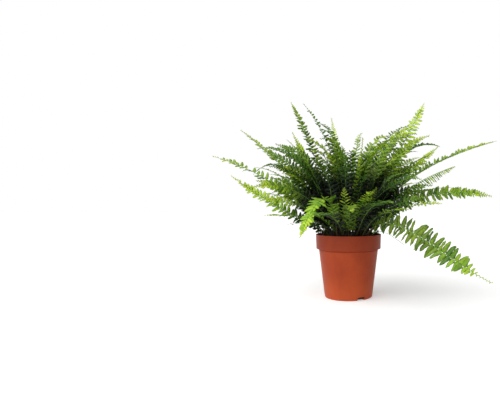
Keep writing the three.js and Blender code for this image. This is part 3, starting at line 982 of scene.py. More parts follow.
@dataclass(frozen=True)
class Spine:
    """A frond's rib as a cubic curve, and the way that its blade lies along it."""

    row: FrondRow
    root: Array
    tip: Array

    def corners(self) -> Array:
        """Gives the curve's control points.

        Returns:
            The root, two points that the curve leans towards, and the tip.
        """
        chord = self.tip - self.root
        azimuth = self.azimuth()
        pull = self.row.arch * float(np.linalg.norm(chord))
        return np.array([
            self.root,
            self.root + heading(azimuth, self.row.rise) * pull,
            self.tip - heading(azimuth, self.row.end) * pull,
            self.tip,
        ])

    def azimuth(self) -> float:
        """Gives the azimuth from root to tip."""
        chord = self.tip - self.root
        return math.degrees(math.atan2(chord[1], chord[0]))

    def places(self, shares: Array) -> Array:
        """Gives points of the curve.

        Args:
            shares: Where, from 0 at the root to 1 at the tip.

        Returns:
            The points.
        """
        t = shares[:, None]
        a, b, c, d = self.corners()
        return (1 - t) ** 3 * a + 3 * (1 - t) ** 2 * t * b + 3 * (1 - t) * t ** 2 * c + t ** 3 * d

    def frames(self, shares: Array) -> tuple[Array, Array, Array]:
        """Gives the directions at shares of the curve.

        Args:
            shares: Where, from 0 at the root to 1 at the tip.

        Returns:
            The directions along the rib, to its left and out of its upper face.
        """
        t = shares[:, None]
        a, b, c, d = self.corners()
        along = unit((1 - t) ** 2 * (b - a) + 2 * (1 - t) * t * (c - b) + t ** 2 * (d - c))
        side = heading(self.azimuth() + 90, 0)
        left = unit(side - along * (along @ side)[:, None])
        roll = math.radians(self.row.roll + self.row.turned)
        left = left * math.cos(roll) + np.cross(along, left) * math.sin(roll)
        return along, left, np.cross(along, left)

    def lengths(self, steps: int = 200) -> tuple[Array, Array]:
        """Measures the rib.

        Args:
            steps: How many stretches it is measured in.

        Returns:
            Shares of the curve, and the length of the rib up to each.
        """
        shares = np.linspace(0, 1, steps + 1)
        moves = np.linalg.norm(np.diff(self.places(shares), axis=0), axis=1)
        return shares, np.concatenate([[0], np.cumsum(moves)])


@dataclass(frozen=True)
class Tuft:
    """Young fronds that fill the bush between the long ones.

    Their tips' azimuths, reaches and heights, and the elevations at which they rise and end, are spread
    evenly through ranges.
    """

    name: str
    count: int
    tone: Tone
    azimuth: Range
    reach: Range
    height: Range
    rise: Range
    end: Range
    seed: int
    half: float = 0.016
    roll: Range = (-40, 40)
    root_radius: Range = (0.008, 0.040)
    root_height: float = 0.109

    def spines(self) -> list[Spine]:
        """Lists the ribs of the tuft's fronds.

        Returns:
            The ribs, whose sizes are spread evenly over their ranges, each in an order of its own.
        """
        draw = np.random.default_rng(self.seed)

        def spread(limits: Range) -> Array:
            """Gives a value for each frond, evenly spread, in a random order."""
            return limits[0] + (limits[1] - limits[0]) * (draw.permutation(self.count) + 0.5) / self.count

        columns = [spread(limits) for limits in (
            self.azimuth, self.reach, self.height, self.rise, self.end, self.roll, self.root_radius)]
        found = []
        for azimuth, reach, height, rise, end, roll, radius in zip(*columns):
            row = FrondRow(azimuth, reach, height, rise, end, self.half, self.tone, roll=roll)
            root = around(azimuth, radius, self.root_height)
            found.append(Spine(row, root, around(azimuth, reach, height)))
        return found


TUFTS = (
    Tuft("young_low", 10, Tone.DEEP, (-10, 200), (0.065, 0.125), (0.150, 0.200), (60, 75), (-35, 10), 1),
    Tuft("young_left_low", 9, Tone.LEAF, (160, 212), (0.110, 0.180), (0.175, 0.235), (60, 75), (-25, 15), 2,
         roll=(-75, -25)),
    Tuft("young_left_high", 11, Tone.DEEP, (150, 200), (0.090, 0.170), (0.225, 0.285), (66, 82), (-20, 30),
         3, roll=(-75, -25)),
    Tuft("young_middle", 6, Tone.LEAF, (120, 240), (0.050, 0.090), (0.255, 0.295), (80, 88), (-25, 20), 4),
    Tuft("young_front", 8, Tone.DEEP, (215, 325), (0.050, 0.100), (0.215, 0.270), (76, 87), (-25, 25), 5),
    Tuft("young_right_high", 13, Tone.LEAF, (-25, 35), (0.070, 0.165), (0.240, 0.310), (68, 82), (-10, 35),
         6, roll=(25, 75)),
    Tuft("young_right_low", 13, Tone.DEEP, (-40, 30), (0.095, 0.160), (0.175, 0.240), (60, 75), (-25, 15), 7,
         roll=(25, 75)),
    Tuft("young_back", 9, Tone.LEAF, (50, 135), (0.100, 0.180), (0.180, 0.270), (60, 78), (-25, 20), 8),
)


@dataclass(frozen=True)
class Frond:
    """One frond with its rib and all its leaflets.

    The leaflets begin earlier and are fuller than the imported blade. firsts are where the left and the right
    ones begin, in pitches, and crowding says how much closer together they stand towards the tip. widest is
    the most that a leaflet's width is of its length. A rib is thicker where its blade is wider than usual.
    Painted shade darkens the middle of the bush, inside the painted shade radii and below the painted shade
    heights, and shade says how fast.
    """

    spine: Spine
    seed: int
    earlier: float = 0.1
    fuller: float = 1.12
    foot_share: float = 0.55
    roundness: float = 0.8
    least_half: float = 0.0024
    usual_half: float = 0.016
    firsts: Range = (0.25, 0.75)
    crowding: float = 0.55
    crowding_power: int = 4
    unevenness: float = 0.16
    tint_spread: float = 0.22
    widest: float = 0.85
    widest_blunt: float = 0.6
    foot_radius: float = 0.0011
    blade_radius: float = 0.0007
    tip_radius: float = 0.00025
    sunk: float = 0.012
    rib_points: int = 44
    painted_shade_radii: Range = (0.058, 0.125)
    painted_shade_heights: Range = (0.165, 0.250)
    shade: float = 1.9

    def half_width(self, blade: Array) -> Array:
        """Gives half the blade's width.

        Args:
            blade: Where, as shares of the blade.

        Returns:
            Half the width at each.
        """
        row = self.spine.row
        foot = self.foot_share + (1 - self.foot_share) * np.minimum(1, blade / row.foot)
        narrowing = np.maximum(0, 1 - (blade / row.thin) ** row.taper) ** self.roundness
        return np.maximum(self.least_half, row.half * self.fuller * foot * narrowing)

    def spots(self, side: int) -> tuple[Array, Array]:
        """Gives where the leaflets of one side leave the rib.

        Args:
            side: 1 for the left side and -1 for the right one, half a pitch further on.

        Returns:
            Shares of the curve and of the blade.
        """
        row = self.spine.row
        shares, lengths = self.spine.lengths()
        bare = row.bare - self.earlier
        start = np.interp(bare, shares, lengths)
        whole = lengths[-1] - start
        found = []
        spot = row.pitch * self.firsts[0 if side == 1 else 1]
        while spot < whole:
            found.append(spot)
            spot += row.pitch * (1 - self.crowding * (spot / whole) ** self.crowding_power)
        reached = np.array(found)
        share = np.interp(reached + start, lengths, shares)
        return share, (share - bare) / (1 - bare)

    def depth(self, places: Array) -> Array:
        """Gives how strongly painted shade darkens places deep in the bush.

        Args:
            places: The places.

        Returns:
            From 0 outside to 1 where the painted shade of the bush's middle is darkest.
        """
        radius = np.hypot(places[:, 0], places[:, 1])
        inside = 1 - np.interp(radius, self.painted_shade_radii, (0, 1))
        below = 1 - np.interp(places[:, 2], self.painted_shade_heights, (0, 1))
        # Painted shade: the deeper and lower in the bush, the darker, except on open fronds
        return np.minimum(1, self.shade * inside * below) * (1 - self.spine.row.open)

    def leaflets(self) -> dict[str, Array]:
        """Lays out the leaflets.

        Returns:
            Their places and attributes, by name.
        """
        draw = np.random.default_rng(self.seed)
        row = self.spine.row
        lift = math.radians(row.lift)
        columns: dict[str, list[Array]] = {}
        for side in (1, -1):
            share, blade = self.spots(side)
            kept = draw.random(len(share)) > row.missing
            share, blade = share[kept], blade[kept]
            count = len(share)
            along, left, up = self.spine.frames(share)
            ray = left * side * math.cos(lift) + up * math.sin(lift)
            ray = ray + along * (row.sweep + side * row.lean)
            length = self.half_width(blade) * np.linalg.norm(ray, axis=1)
            length *= 1 - self.unevenness * draw.random(count)
            ray = unit(ray)
            widest = self.widest_blunt if row.blunt else self.widest
            width = np.minimum(row.pitch * row.fill, widest * length)
            made = {
                "place": self.spine.places(share),
                "outward": ray,
                "upward": unit(up - ray * np.sum(up * ray, axis=1)[:, None]),
                "extent": np.stack([width, length, length], axis=1),
                "mirrored": np.full(count, float(side == -1)),
                "share": blade ** row.ripe,
                "depth": self.depth(self.spine.places(share)),
                "tint": np.clip(draw.normal(0.5, self.tint_spread, count), 0, 1),
                "leaflet": np.ones(count),
                "girth": np.zeros(count),
            }
            for name, values in made.items():
                columns.setdefault(name, []).append(values)
        return {name: np.concatenate(values) for name, values in columns.items()}

    def rib(self) -> dict[str, Array]:
        """Lays out the rib, from under the soil to the tip.

        Returns:
            Its points and their attributes, by name.
        """
        even = np.linspace(0, 1, self.rib_points)
        places = np.concatenate([[self.spine.root - [0, 0, self.sunk]], self.spine.places(even)])
        shares = np.concatenate([[0], even])
        blade_radius = self.blade_radius * self.spine.row.half / self.usual_half
        radii = [self.foot_radius, blade_radius, self.tip_radius]
        made = {name: np.zeros((len(shares), 3)) for name in ("outward", "upward", "extent")}
        made |= {name: np.zeros(len(shares)) for name in ("mirrored", "tint", "leaflet")}
        return made | {
            "place": places,
            "share": shares,
            "depth": self.depth(places),
            "girth": np.interp(shares, [0, self.spine.row.bare, 1], radii),
        }


def carrier(name: str, fronds: list[Frond]) -> bpy.types.Object:
    """Makes the edges of fronds' ribs and one loose point for each of their leaflets.

    Args:
        name: The object's name.
        fronds: The fronds.

    Returns:
        An object with all the attributes that the tree reads.
    """
    edges: list[tuple[int, int]] = []
    columns: dict[str, list[Array]] = {}
    start = 0
    for frond in fronds:
        for joined_up, points in ((True, frond.rib()), (False, frond.leaflets())):
            count = len(points["share"])
            if joined_up:
                edges += chain(start, count)
            start += count
            for field, values in points.items():
                columns.setdefault(field, []).append(values)
    joined = {field: np.concatenate(values) for field, values in columns.items()}
    made = mesh_object(name, joined.pop("place"), edges)
    for field, values in joined.items():
        set_attribute(made, field, values)
    return made


def blunt_forms(lobe: float = 0.15, start: float = 0.25, base: float = 0.035) -> tuple[LeafletForm, ...]:
    """Gives the leaflets with rounded tips, which also start blunter at the rib than the pointed ones.

    Args:
        lobe: How far their lobes stand out.
        start: How far from the rib their first row is, in rows.
        base: The share of their length over which they reach their full width.

    Returns:
        The forms.
    """
    shapes = (
        (0.16, 0.08, 0.30, 0.040, 0.5, 0.22, 4.5),
        (0.30, 0.22, -0.40, 0.050, 1.9, 0.16, 4.0),
        (0.10, 0.02, 0.65, 0.045, 3.0, 0.25, 5.0),
        (0.38, 0.30, -0.10, 0.055, 4.4, 0.20, 3.6),
        (0.22, -0.05, 0.15, 0.045, 5.6, 0.18, 4.5),
    )
    return tuple(LeafletForm(*shape, lobe=lobe, start=start, base=base) for shape in shapes)


@dataclass
class Foliage:
    """All the fronds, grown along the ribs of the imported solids.

    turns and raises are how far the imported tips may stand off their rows, in degrees and millimetres, and
    a solid's stipe is looked for inside stub_circle and under stub_foot. tilt is how far leaflets lean about
    their midribs, in degrees. Pieces are seed_step apart in their seeds, and tufts tuft_seed_step.
    """

    pointed: tuple[LeafletForm, ...] = (
        LeafletForm(0.34, 0.10, 0.35, 0.030, 0.0),
        LeafletForm(0.46, 0.20, -0.45, 0.040, 1.3),
        LeafletForm(0.28, 0.05, 0.60, 0.035, 2.6),
        LeafletForm(0.55, 0.28, 0.10, 0.045, 3.9),
        LeafletForm(0.38, -0.04, -0.25, 0.040, 5.2),
    )
    blunt: tuple[LeafletForm, ...] = blunt_forms()
    finishes: tuple[LeafFinish, ...] = (
        LeafFinish(Tone.DEEP, 0x183208, 0x2C520E, 0x6A9020, 0x547C26, 0x4A6E24),
        LeafFinish(Tone.LEAF, 0x224208, 0x467810, 0xBCD030, 0x729A30, 0x60882A),
        LeafFinish(Tone.FRESH, 0x42780E, 0x7AAC16, 0xD0E23C, 0x9CBA38, 0x84A834),
    )
    rib_finish: RibFinish = RibFinish("rib", 0x4A3A20, 0x5E8A2C)
    turns: range = range(-24, 25, 4)
    raises: range = range(-24, 25, 8)
    stub_top: float = 0.109
    stub_foot: float = 0.091
    stub_circle: float = 0.055
    tip_corners: int = 4
    largest_miss: float = 0.002
    rib_sides: int = 6
    tilt: float = 14.0
    turn_share: float = 0.6
    seed_step: int = 10
    tuft_seed_step: int = 100

    def __post_init__(self) -> None:
        """Makes the leaflet forms, the finishes and the tree."""
        self.forms = {False: self.collect("pointed", self.pointed), True: self.collect("blunt", self.blunt)}
        self.skins = {finish.tone: finish.make() for finish in self.finishes}
        self.rib_skin = self.rib_finish.make()
        self.tree = self.grow_tree()
        self.triangles = 0

    def collect(self, name: str, forms: tuple[LeafletForm, ...]) -> bpy.types.Collection:
        """Makes a collection of leaflets, first those of the rib's left side and then those of its right.

        Args:
            name: The collection's name.
            forms: The leaflets of a side.

        Returns:
            The collection.
        """
        return shelve(name, [form.make(f"{name}_{int(side)}{i}", side)
                             for side in (False, True) for i, form in enumerate(forms)])

    def grow_tree(self) -> bpy.types.NodeTree:
        """Builds the tree that turns a frond's carrier into its rib and leaflets.

        Returns:
            The tree.
        """
        net = Growth("Frond")
        forms = net.take("Forms", "NodeSocketCollection")
        each_side = net.take("Forms A Side", "NodeSocketInt")
        sides = net.take("Rib Sides", "NodeSocketInt")
        tilt = net.take("Tilt", "NodeSocketFloat")
        spread = net.take("Tilt Spread", "NodeSocketFloat")
        seed = net.take("Seed", "NodeSocketInt")
        skin = net.take("Leaflet Skin", "NodeSocketMaterial")
        rib_skin = net.take("Rib Skin", "NodeSocketMaterial")

        points, edges = net.split(net.body, "leaflet")
        rib = net.tube(edges, sides, rib_skin)
        facing = net.node("FunctionNodeAlignRotationToVector", {"axis": "Z"},
                          {"Vector": net.named("upward", "FLOAT_VECTOR")})
        facing = net.node("FunctionNodeAlignRotationToVector", {"axis": "Y", "pivot_axis": "Z"},
                          {"Rotation": facing, "Vector": net.named("outward", "FLOAT_VECTOR")})
        mirrored = net.named("mirrored")
        lean = tilt * (1 - 2 * mirrored)
        angles = net.node("ShaderNodeCombineXYZ", {}, {
            "X": net.random(-1, 1, seed, 1) * spread,
            "Y": net.random(-1, 1, seed, 2) * spread + lean,
            "Z": net.random(-1, 1, seed, 3) * spread * self.turn_share,
        })
        turned = net.node("FunctionNodeRotateRotation", {"rotation_space": "LOCAL"},
                          {"Rotation": facing, "Rotate By": angles})
        pick = (net.random(0, 1 - SLIVER, seed, 4) * each_side).maths("FLOOR") + mirrored * each_side
        leaflets = net.scatter(points, forms, pick, skin,
                               {"Rotation": turned, "Scale": net.named("extent", "FLOAT_VECTOR")})
        whole = net.node("GeometryNodeJoinGeometry", {}, {0: [rib, leaflets]})
        return net.give(net.smooth(whole))

    def spine(self, row: FrondRow, node: bpy.types.Object) -> Spine:
        """Finds how a packed frond stands: its root, and the turn and lift that its tip has.

        Args:
            row: The frond's row.
            node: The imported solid.

        Returns:
            The rib's curve.
        """
        points = np.array([v.co for v in node.data.vertices], float)
        within = np.hypot(points[:, 0], points[:, 1]) < self.stub_circle
        low = points[within & (points[:, 2] < self.stub_foot)]
        root = np.array([*((low.min(axis=0) + low.max(axis=0)) / 2)[:2], self.stub_top])

        def miss(tip: Array) -> float:
            """Gives the mean distance from a tip to the solid's nearest corners."""
            return float(np.mean(np.sort(np.linalg.norm(points - tip, axis=1))[:self.tip_corners]))

        tips = [around(row.azimuth + turn, row.reach, row.height + raised * MILLIMETRE)
                for turn in self.turns for raised in self.raises]
        best = min(tips, key=miss)
        if miss(best) > self.largest_miss:
            LOG.warning("%s: its tip is %.1f mm off", node.name, miss(best) / MILLIMETRE)
        return Spine(row, root, best)

    def plant(self, name: str, fronds: list[Frond], tone: Tone, seed: int) -> bpy.types.Object:
        """Grows one piece.

        Args:
            name: The piece's name.
            fronds: The fronds in it.
            tone: Their green.
            seed: The seed of its leaflets' turns.

        Returns:
            The piece.
        """
        made = carrier(name, fronds)
        grow(made, self.tree, {
            "Forms": self.forms[fronds[0].spine.row.blunt],
            "Forms A Side": len(self.pointed),
            "Rib Sides": self.rib_sides,
            "Tilt": math.radians(self.tilt),
            "Tilt Spread": math.radians(fronds[0].spine.row.loose),
            "Seed": self.seed_step * seed,
            "Leaflet Skin": self.skins[tone],
            "Rib Skin": self.rib_skin,
        })
        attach(made, "root")
        self.triangles += sum(len(face.vertices) - 2 for face in made.data.polygons)
        return made

    def make(self, nodes: dict[str, bpy.types.Object]) -> None:
        """Grows every frond.

        Args:
            nodes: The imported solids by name.
        """
        for i, row in enumerate(FRONDS):
            name = f"frond_{i + 1:02d}"
            made = self.plant(name + "_blade", [Frond(self.spine(row, nodes[name]), i + 1)], row.tone, i)
            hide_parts(name)
            low, high = (np.array(corner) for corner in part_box(name))
            points = np.array([v.co for v in made.data.vertices])
            beyond = max((low - points.min(axis=0)).max(), (points.max(axis=0) - high).max())
            LOG.info("%s: at most %.1f mm outside its solid's box", made.name, beyond / MILLIMETRE)
        for i, tuft in enumerate(TUFTS):
            seed = self.tuft_seed_step * (i + 1)
            fronds = [Frond(spine, seed + k) for k, spine in enumerate(tuft.spines())]
            made = self.plant(tuft.name, fronds, tuft.tone, len(FRONDS) + i)
            LOG.info("%s: %d faces", made.name, len(made.data.polygons))
        for shelf in self.forms.values():
            clear_shelf(shelf)
        LOG.info("foliage: %d triangles", self.triangles)


@dataclass(frozen=True)
class Pot:
    """The moulded pot: a tapering body under a tall collar, notches in its foot and holes in its floor.

    Each round is the distance from a corner at which its rounding begins. Azimuths are in degrees.
    """

    height: float = 0.115
    rim_radius: float = 0.060
    collar_height: float = 0.026
    collar_foot_radius: float = 0.0592
    body_top_radius: float = 0.0544
    body_top_drop: float = 0.0012
    groove_depth: float = 0.0006
    groove_height: float = 0.0012
    groove_share: float = 0.4
    groove_lip_round: float = 0.0002
    groove_round: float = 0.0003
    body_top_round: float = 0.0005
    collar_round: float = 0.0009
    rim_round: float = 0.0006
    inner_rim_round: float = 0.0005
    inner_step_round: float = 0.001
    inner_foot_round: float = 0.0022
    foot_radius: float = 0.0436
    foot_round: float = 0.003
    wall: float = 0.0014
    floor: float = 0.0024
    inner_step_rise: float = 0.0034
    sides: int = 128
    sharp_over: float = 30.0
    notch_count: int = 3
    notch_width: float = 0.015
    notch_height: float = 0.006
    notch_depth: float = 0.010
    notch_first: float = -59.0
    notch_steps: int = 12
    notch_squareness: float = 0.35
    notch_shoulder: float = 0.55
    drain_count: int = 6
    drain_radius: float = 0.0035
    drain_circle: float = 0.020
    drain_first: float = 30.0
    drain_sides: int = 24
    drain_overshoot: float = 0.001

    def outline(self) -> list[Spot]:
        """Lists the wall's corners, from the axis out, up, in and back to the axis.

        Returns:
            The radius, the height and the round of each.
        """
        collar = self.height - self.collar_height
        body_top = collar - self.body_top_drop
        groove = body_top - self.groove_height * self.groove_share
        return [
            (0, 0, 0),
            (self.foot_radius, 0, self.foot_round),
            (self.body_top_radius, body_top - self.groove_height, self.groove_lip_round),
            (self.body_top_radius - self.groove_depth, groove, self.groove_round),
            (self.body_top_radius, body_top, self.body_top_round),
            (self.collar_foot_radius, collar, self.collar_round),
            (self.rim_radius, self.height, self.rim_round),
            (self.rim_radius - self.wall, self.height, self.inner_rim_round),
            (self.collar_foot_radius - self.wall, body_top + self.inner_step_rise, self.inner_step_round),
            (self.body_top_radius - self.wall, body_top, self.inner_step_round),
            (self.foot_radius - self.wall, self.floor, self.inner_foot_round),
            (0, self.floor, 0),
        ]

    def make(self, skin: bpy.types.Material) -> None:
        """Makes the pot.

        Args:
            skin: Its material.
        """
        made = lathe("pot_shell", rounded(self.outline()), self.sides)
        cutters = [self.notch(i) for i in range(self.notch_count)]
        cutters += [self.drain(i) for i in range(self.drain_count)]
        for cutter in cutters:
            cut = made.modifiers.new("Cut", "BOOLEAN")
            cut.operation = "DIFFERENCE"
            cut.solver = "EXACT"
            cut.object = cutter
        keep_evaluated(made)
        for cutter in cutters:
            bpy.data.objects.remove(cutter)
        finish_piece(made, skin, self.sharp_over)
        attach(made, "root")
        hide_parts("pot")
        LOG.info("pot: %d faces", len(made.data.polygons))

    def notch(self, number: int) -> bpy.types.Object:
        """Makes the cutter of one notch, an upright prism with an arched top.

        Args:
            number: Which notch it is.

        Returns:
            The cutter.
        """
        azimuth = self.notch_first + 360 * number / self.notch_count
        out = heading(azimuth, 0)
        side = heading(azimuth + 90, 0)
        half = self.notch_width / 2
        arch = [(-half, -self.notch_height), (half, -self.notch_height)]
        for step in range(self.notch_steps + 1):
            turn = math.pi * step / self.notch_steps
            flat = math.copysign(abs(math.cos(turn)) ** self.notch_squareness, math.cos(turn))
            rise = self.notch_shoulder + (1 - self.notch_shoulder) * math.sqrt(math.sin(turn))
            arch.append((half * flat, self.notch_height * rise))
        return prism("notch_cutter", [
            [out * radius + side * across + np.array([0, 0, up]) for across, up in arch]
            for radius in (self.foot_radius - self.notch_depth, self.foot_radius + self.notch_depth)
        ])

    def drain(self, number: int) -> bpy.types.Object:
        """Makes the cutter of one hole in the floor.

        Args:
            number: Which hole it is.

        Returns:
            The cutter.
        """
        centre = around(self.drain_first + 360 * number / self.drain_count, self.drain_circle, 0)
        return prism("drain_cutter", [
            [centre + around(360 * step / self.drain_sides, self.drain_radius, level)
             for step in range(self.drain_sides)]
            for level in (-self.drain_overshoot, 2 * self.floor)
        ])


def prism(name: str, ends: list[list[Array]]) -> bpy.types.Object:
    """Makes a closed body between two outlines with as many points each.

    Args:
        name: The object's name.
        ends: The two outlines.

    Returns:
        The object.
    """
    count = len(ends[0])
    faces = [tuple(range(count)), tuple(range(count, 2 * count)), *band(0, count)]
    made = mesh_object(name, ends[0] + ends[1], (), faces)
    turn_faces_out(made)
    return made


def rounded(corners: list[Spot], steps: int = 6) -> list[tuple[float, float]]:
    """Rounds the corners of an outline.

    Args:
        corners: Radius, height and the distance from the corner at which its round begins.
        steps: Points on each round.

    Returns:
        Radii and heights.
    """
    points: list[tuple[float, float]] = []
    for i, (x, z, size) in enumerate(corners):
        here = np.array([x, z])
        if size == 0:
            points.append((x, z))
            continue
        before = here + unit(np.array(corners[i - 1][:2]) - here) * size
        after = here + unit(np.array(corners[i + 1][:2]) - here) * size
        for step in range(steps + 1):
            t = step / steps
            spot = (1 - t) ** 2 * before + 2 * (1 - t) * t * here + t ** 2 * after
            points.append((float(spot[0]), float(spot[1])))
    return points


def lathe(name: str, outline: list[tuple[float, float]], sides: int) -> bpy.types.Object:
    """Turns an outline that starts and ends on the axis into a closed body.

    Args:
        name: The object's name.
        outline: Radii and heights.
        sides: Faces round it.

    Returns:
        The object.
    """
    vertices = [np.array([0, 0, outline[0][1]])]
    for radius, height in outline[1:-1]:
        vertices += [around(360 * k / sides, radius, height) for k in range(sides)]
    vertices.append(np.array([0, 0, outline[-1][1]]))
    bands = [band(1 + row * sides, sides) for row in range(len(outline) - 3)]
    end = len(vertices) - 1
    last = end - sides
    faces = []
    for k in range(sides):
        after = (k + 1) % sides
        faces.append((0, 1 + after, 1 + k))
        faces += [quads[k] for quads in bands]
        faces.append((last + k, last + after, end))
    made = mesh_object(name, vertices, (), faces)
    turn_faces_out(made)
    return made


def finish_piece(made: bpy.types.Object, skin: bpy.types.Material, sharp_over: float) -> None:
    """Gives a piece its material and smooth shading.

    Args:
        made: The piece.
        skin: Its material.
        sharp_over: The angle in degrees over which an edge stays sharp.
    """
    made.data.materials.clear()
    made.data.materials.append(skin)
    made.data.shade_smooth()
    made.data.set_sharp_from_angle(angle=math.radians(sharp_over))


@dataclass(frozen=True)
class Peat:
    """The soil: a crumbly top over a plain body that fills the pot.

    low_side is the body's outline under the top, as radii and heights. Each of the top's waves has its
    steepness to the right and to the back and its phase, and each is weaker than the one before. They fade
    out near the edge, the faster the higher fading is. density is crumbs per square metre.
    """

    edge_height: float = 0.102
    crown_height: float = 0.105
    radius: float = 0.0574
    low_side: tuple[tuple[float, float], ...] = (
        (0.0, 0.0028), (0.0398, 0.0028), (0.0418, 0.004), (0.0526, 0.0882), (0.0574, 0.0916))
    rings: int = 40
    sides: int = 150
    relief: float = 0.00064
    waves: tuple[Spot, ...] = (
        (310, 170, 0.4), (-260, 420, 1.7), (720, -510, 2.9), (880, 930, 4.1), (-1400, 1150, 5.3))
    fading: float = 6.0
    crumb_forms: int = 4
    crumb_seed: int = 100
    crumb_corners: Range = (0.6, 1.1)
    crumb_flatness: float = 0.7
    crumb_size: float = 0.0011
    least_crumb: float = 0.35
    density: float = 120000.0
    seed: int = 4

    def top_height(self, x: float, y: float) -> float:
        """Gives the height of the crumbly top.

        Args:
            x: How far right of the axis.
            y: How far behind the axis.

        Returns:
            The height there.
        """
        share = math.hypot(x, y) / self.radius
        height = self.crown_height - (self.crown_height - self.edge_height) * share ** 2
        rough = sum(math.sin(x * a + y * b + c) / (1 + i) for i, (a, b, c) in enumerate(self.waves))
        return height + self.relief * rough * min(1, self.fading * (1 - share))

    def make(self, skin: bpy.types.Material) -> None:
        """Makes the soil.

        Args:
            skin: Its material.
        """
        top = [(self.radius * (1 - i / self.rings), self.edge_height) for i in range(self.rings + 1)]
        made = lathe("peat", [*self.low_side, *top], self.sides)
        heights = []
        for vertex in made.data.vertices:
            on_top = vertex.co.z > self.edge_height - MILLIMETRE
            if on_top:
                vertex.co.z = self.top_height(vertex.co.x, vertex.co.y)
            heights.append(float(on_top))
        set_attribute(made, "top", np.array(heights))
        set_attribute(made, "tint", np.zeros(len(heights)))
        shelf = shelve("crumb_forms", [self.crumb(number) for number in range(self.crumb_forms)])
        grow(made, self.tree(), {
            "Crumbs": shelf,
            "Density": self.density,
            "Size": self.crumb_size,
            "Seed": self.seed,
            "Skin": skin,
        })
        clear_shelf(shelf)
        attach(made, "root")
        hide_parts("soil")
        LOG.info("peat: %d faces", len(made.data.polygons))

    def crumb(self, number: int) -> bpy.types.Object:
        """Makes one lump of peat, a ball with uneven corners.

        Args:
            number: Which lump it is.

        Returns:
            The lump.
        """
        draw = np.random.default_rng(self.crumb_seed + number)
        work = bmesh.new()
        bmesh.ops.create_icosphere(work, subdivisions=1, radius=1.0)
        for vertex in work.verts:
            vertex.co *= float(draw.uniform(*self.crumb_corners))
            vertex.co.z *= self.crumb_flatness
        made = mesh_object(f"crumb_{number}", [])
        work.to_mesh(made.data)
        work.free()
        return made

    def tree(self) -> bpy.types.NodeTree:
        """Builds the tree that strews crumbs over the top.

        Returns:
            The tree.
        """
        net = Growth("Crumbs")
        forms = net.take("Crumbs", "NodeSocketCollection")
        density = net.take("Density", "NodeSocketFloat")
        size = net.take("Size", "NodeSocketFloat")
        seed = net.take("Seed", "NodeSocketInt")
        skin = net.take("Skin", "NodeSocketMaterial")
        on_top = net.node("FunctionNodeCompare", {}, {0: net.named("top"), 1: 1 - SLIVER})
        points = net.node("GeometryNodeDistributePointsOnFaces", {}, {
            "Mesh": net.body, "Selection": on_top, "Density": density, "Seed": seed,
        })
        tint = net.random(0, 1, seed, 1)
        points = net.node("GeometryNodeStoreNamedAttribute", {"data_type": "FLOAT", "domain": "POINT"},
                          {"Geometry": points, "Name": "tint", "Value": tint})
        angles = net.node("ShaderNodeCombineXYZ", {}, {
            axis: net.random(0, math.tau, seed, 2 + i) for i, axis in enumerate("XYZ")})
        pick = net.random(0, self.crumb_forms - SLIVER, seed, 5).maths("FLOOR")
        scale = size * (self.least_crumb + net.random(0, 1, seed, 6) ** 2.0)
        crumbs = net.scatter(points, forms, pick, skin, {"Rotation": angles, "Scale": scale})
        ground = net.node("GeometryNodeSetMaterial", {}, {"Geometry": net.body, "Material": skin})
        return net.give(net.smooth(net.node("GeometryNodeJoinGeometry", {}, {0: [ground, crumbs]})))


@dataclass
class Wires:
    """Round fibres and runners, each a closed tube along a route.

    share is the place on a frond's rib, from its root to its tip, whose colour they have.
    """

    sides: int = 6
    share: float = 0.25

    def __post_init__(self) -> None:
        """Builds the tree that turns edges into tubes."""
        net = Growth("Wire")
        sides = net.take("Sides", "NodeSocketInt")
        finish = net.take("Skin", "NodeSocketMaterial")
        self.tree = net.give(net.smooth(net.tube(net.body, sides, finish)))

    def make(self, name: str, routes: list[Array], radii: list[float],
             skin: bpy.types.Material) -> bpy.types.Object:
        """Makes tubes as one piece that rides on the root.

        Args:
            name: The piece's name.
            routes: The points that each tube follows.
            radii: Each tube's radius.
            skin: Their material, which may read the attribute share.

        Returns:
            The piece.
        """
        edges: list[tuple[int, int]] = []
        start = 0
        for route in routes:
            edges += chain(start, len(route))
            start += len(route)
        made = mesh_object(name, np.concatenate(routes), edges)
        girths = [np.full(len(route), radius) for route, radius in zip(routes, radii)]
        set_attribute(made, "girth", np.concatenate(girths))
        set_attribute(made, "share", np.full(start, self.share))
        grow(made, self.tree, {"Sides": self.sides, "Skin": skin})
        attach(made, "root")
        return made


@dataclass(frozen=True)
class Runners:
    """Thin wiry runners that hang out over the rim."""

    routes: tuple[tuple[Spot, ...], ...] = (
        ((0.030, -0.020, 0.106), (0.050, -0.034, 0.121), (0.066, -0.041, 0.1195), (0.082, -0.046, 0.110),
         (0.096, -0.050, 0.100)),
        ((-0.028, -0.018, 0.106), (-0.048, -0.027, 0.128), (-0.070, -0.032, 0.1395), (-0.090, -0.035, 0.139),
         (-0.108, -0.038, 0.134)),
        ((0.012, 0.034, 0.105), (0.020, 0.052, 0.119), (0.026, 0.066, 0.118), (0.030, 0.076, 0.106),
         (0.031, 0.081, 0.090)),
    )
    radius: float = 0.00035
    steps: int = 24

    def make(self, wires: Wires, skin: bpy.types.Material) -> None:
        """Makes the runners.

        Args:
            wires: What makes tubes.
            skin: Their material.
        """
        routes = [smooth_route(np.array(route), self.steps) for route in self.routes]
        made = wires.make("runners", routes, [self.radius] * len(routes), skin)
        LOG.info("runners: %d faces", len(made.data.polygons))


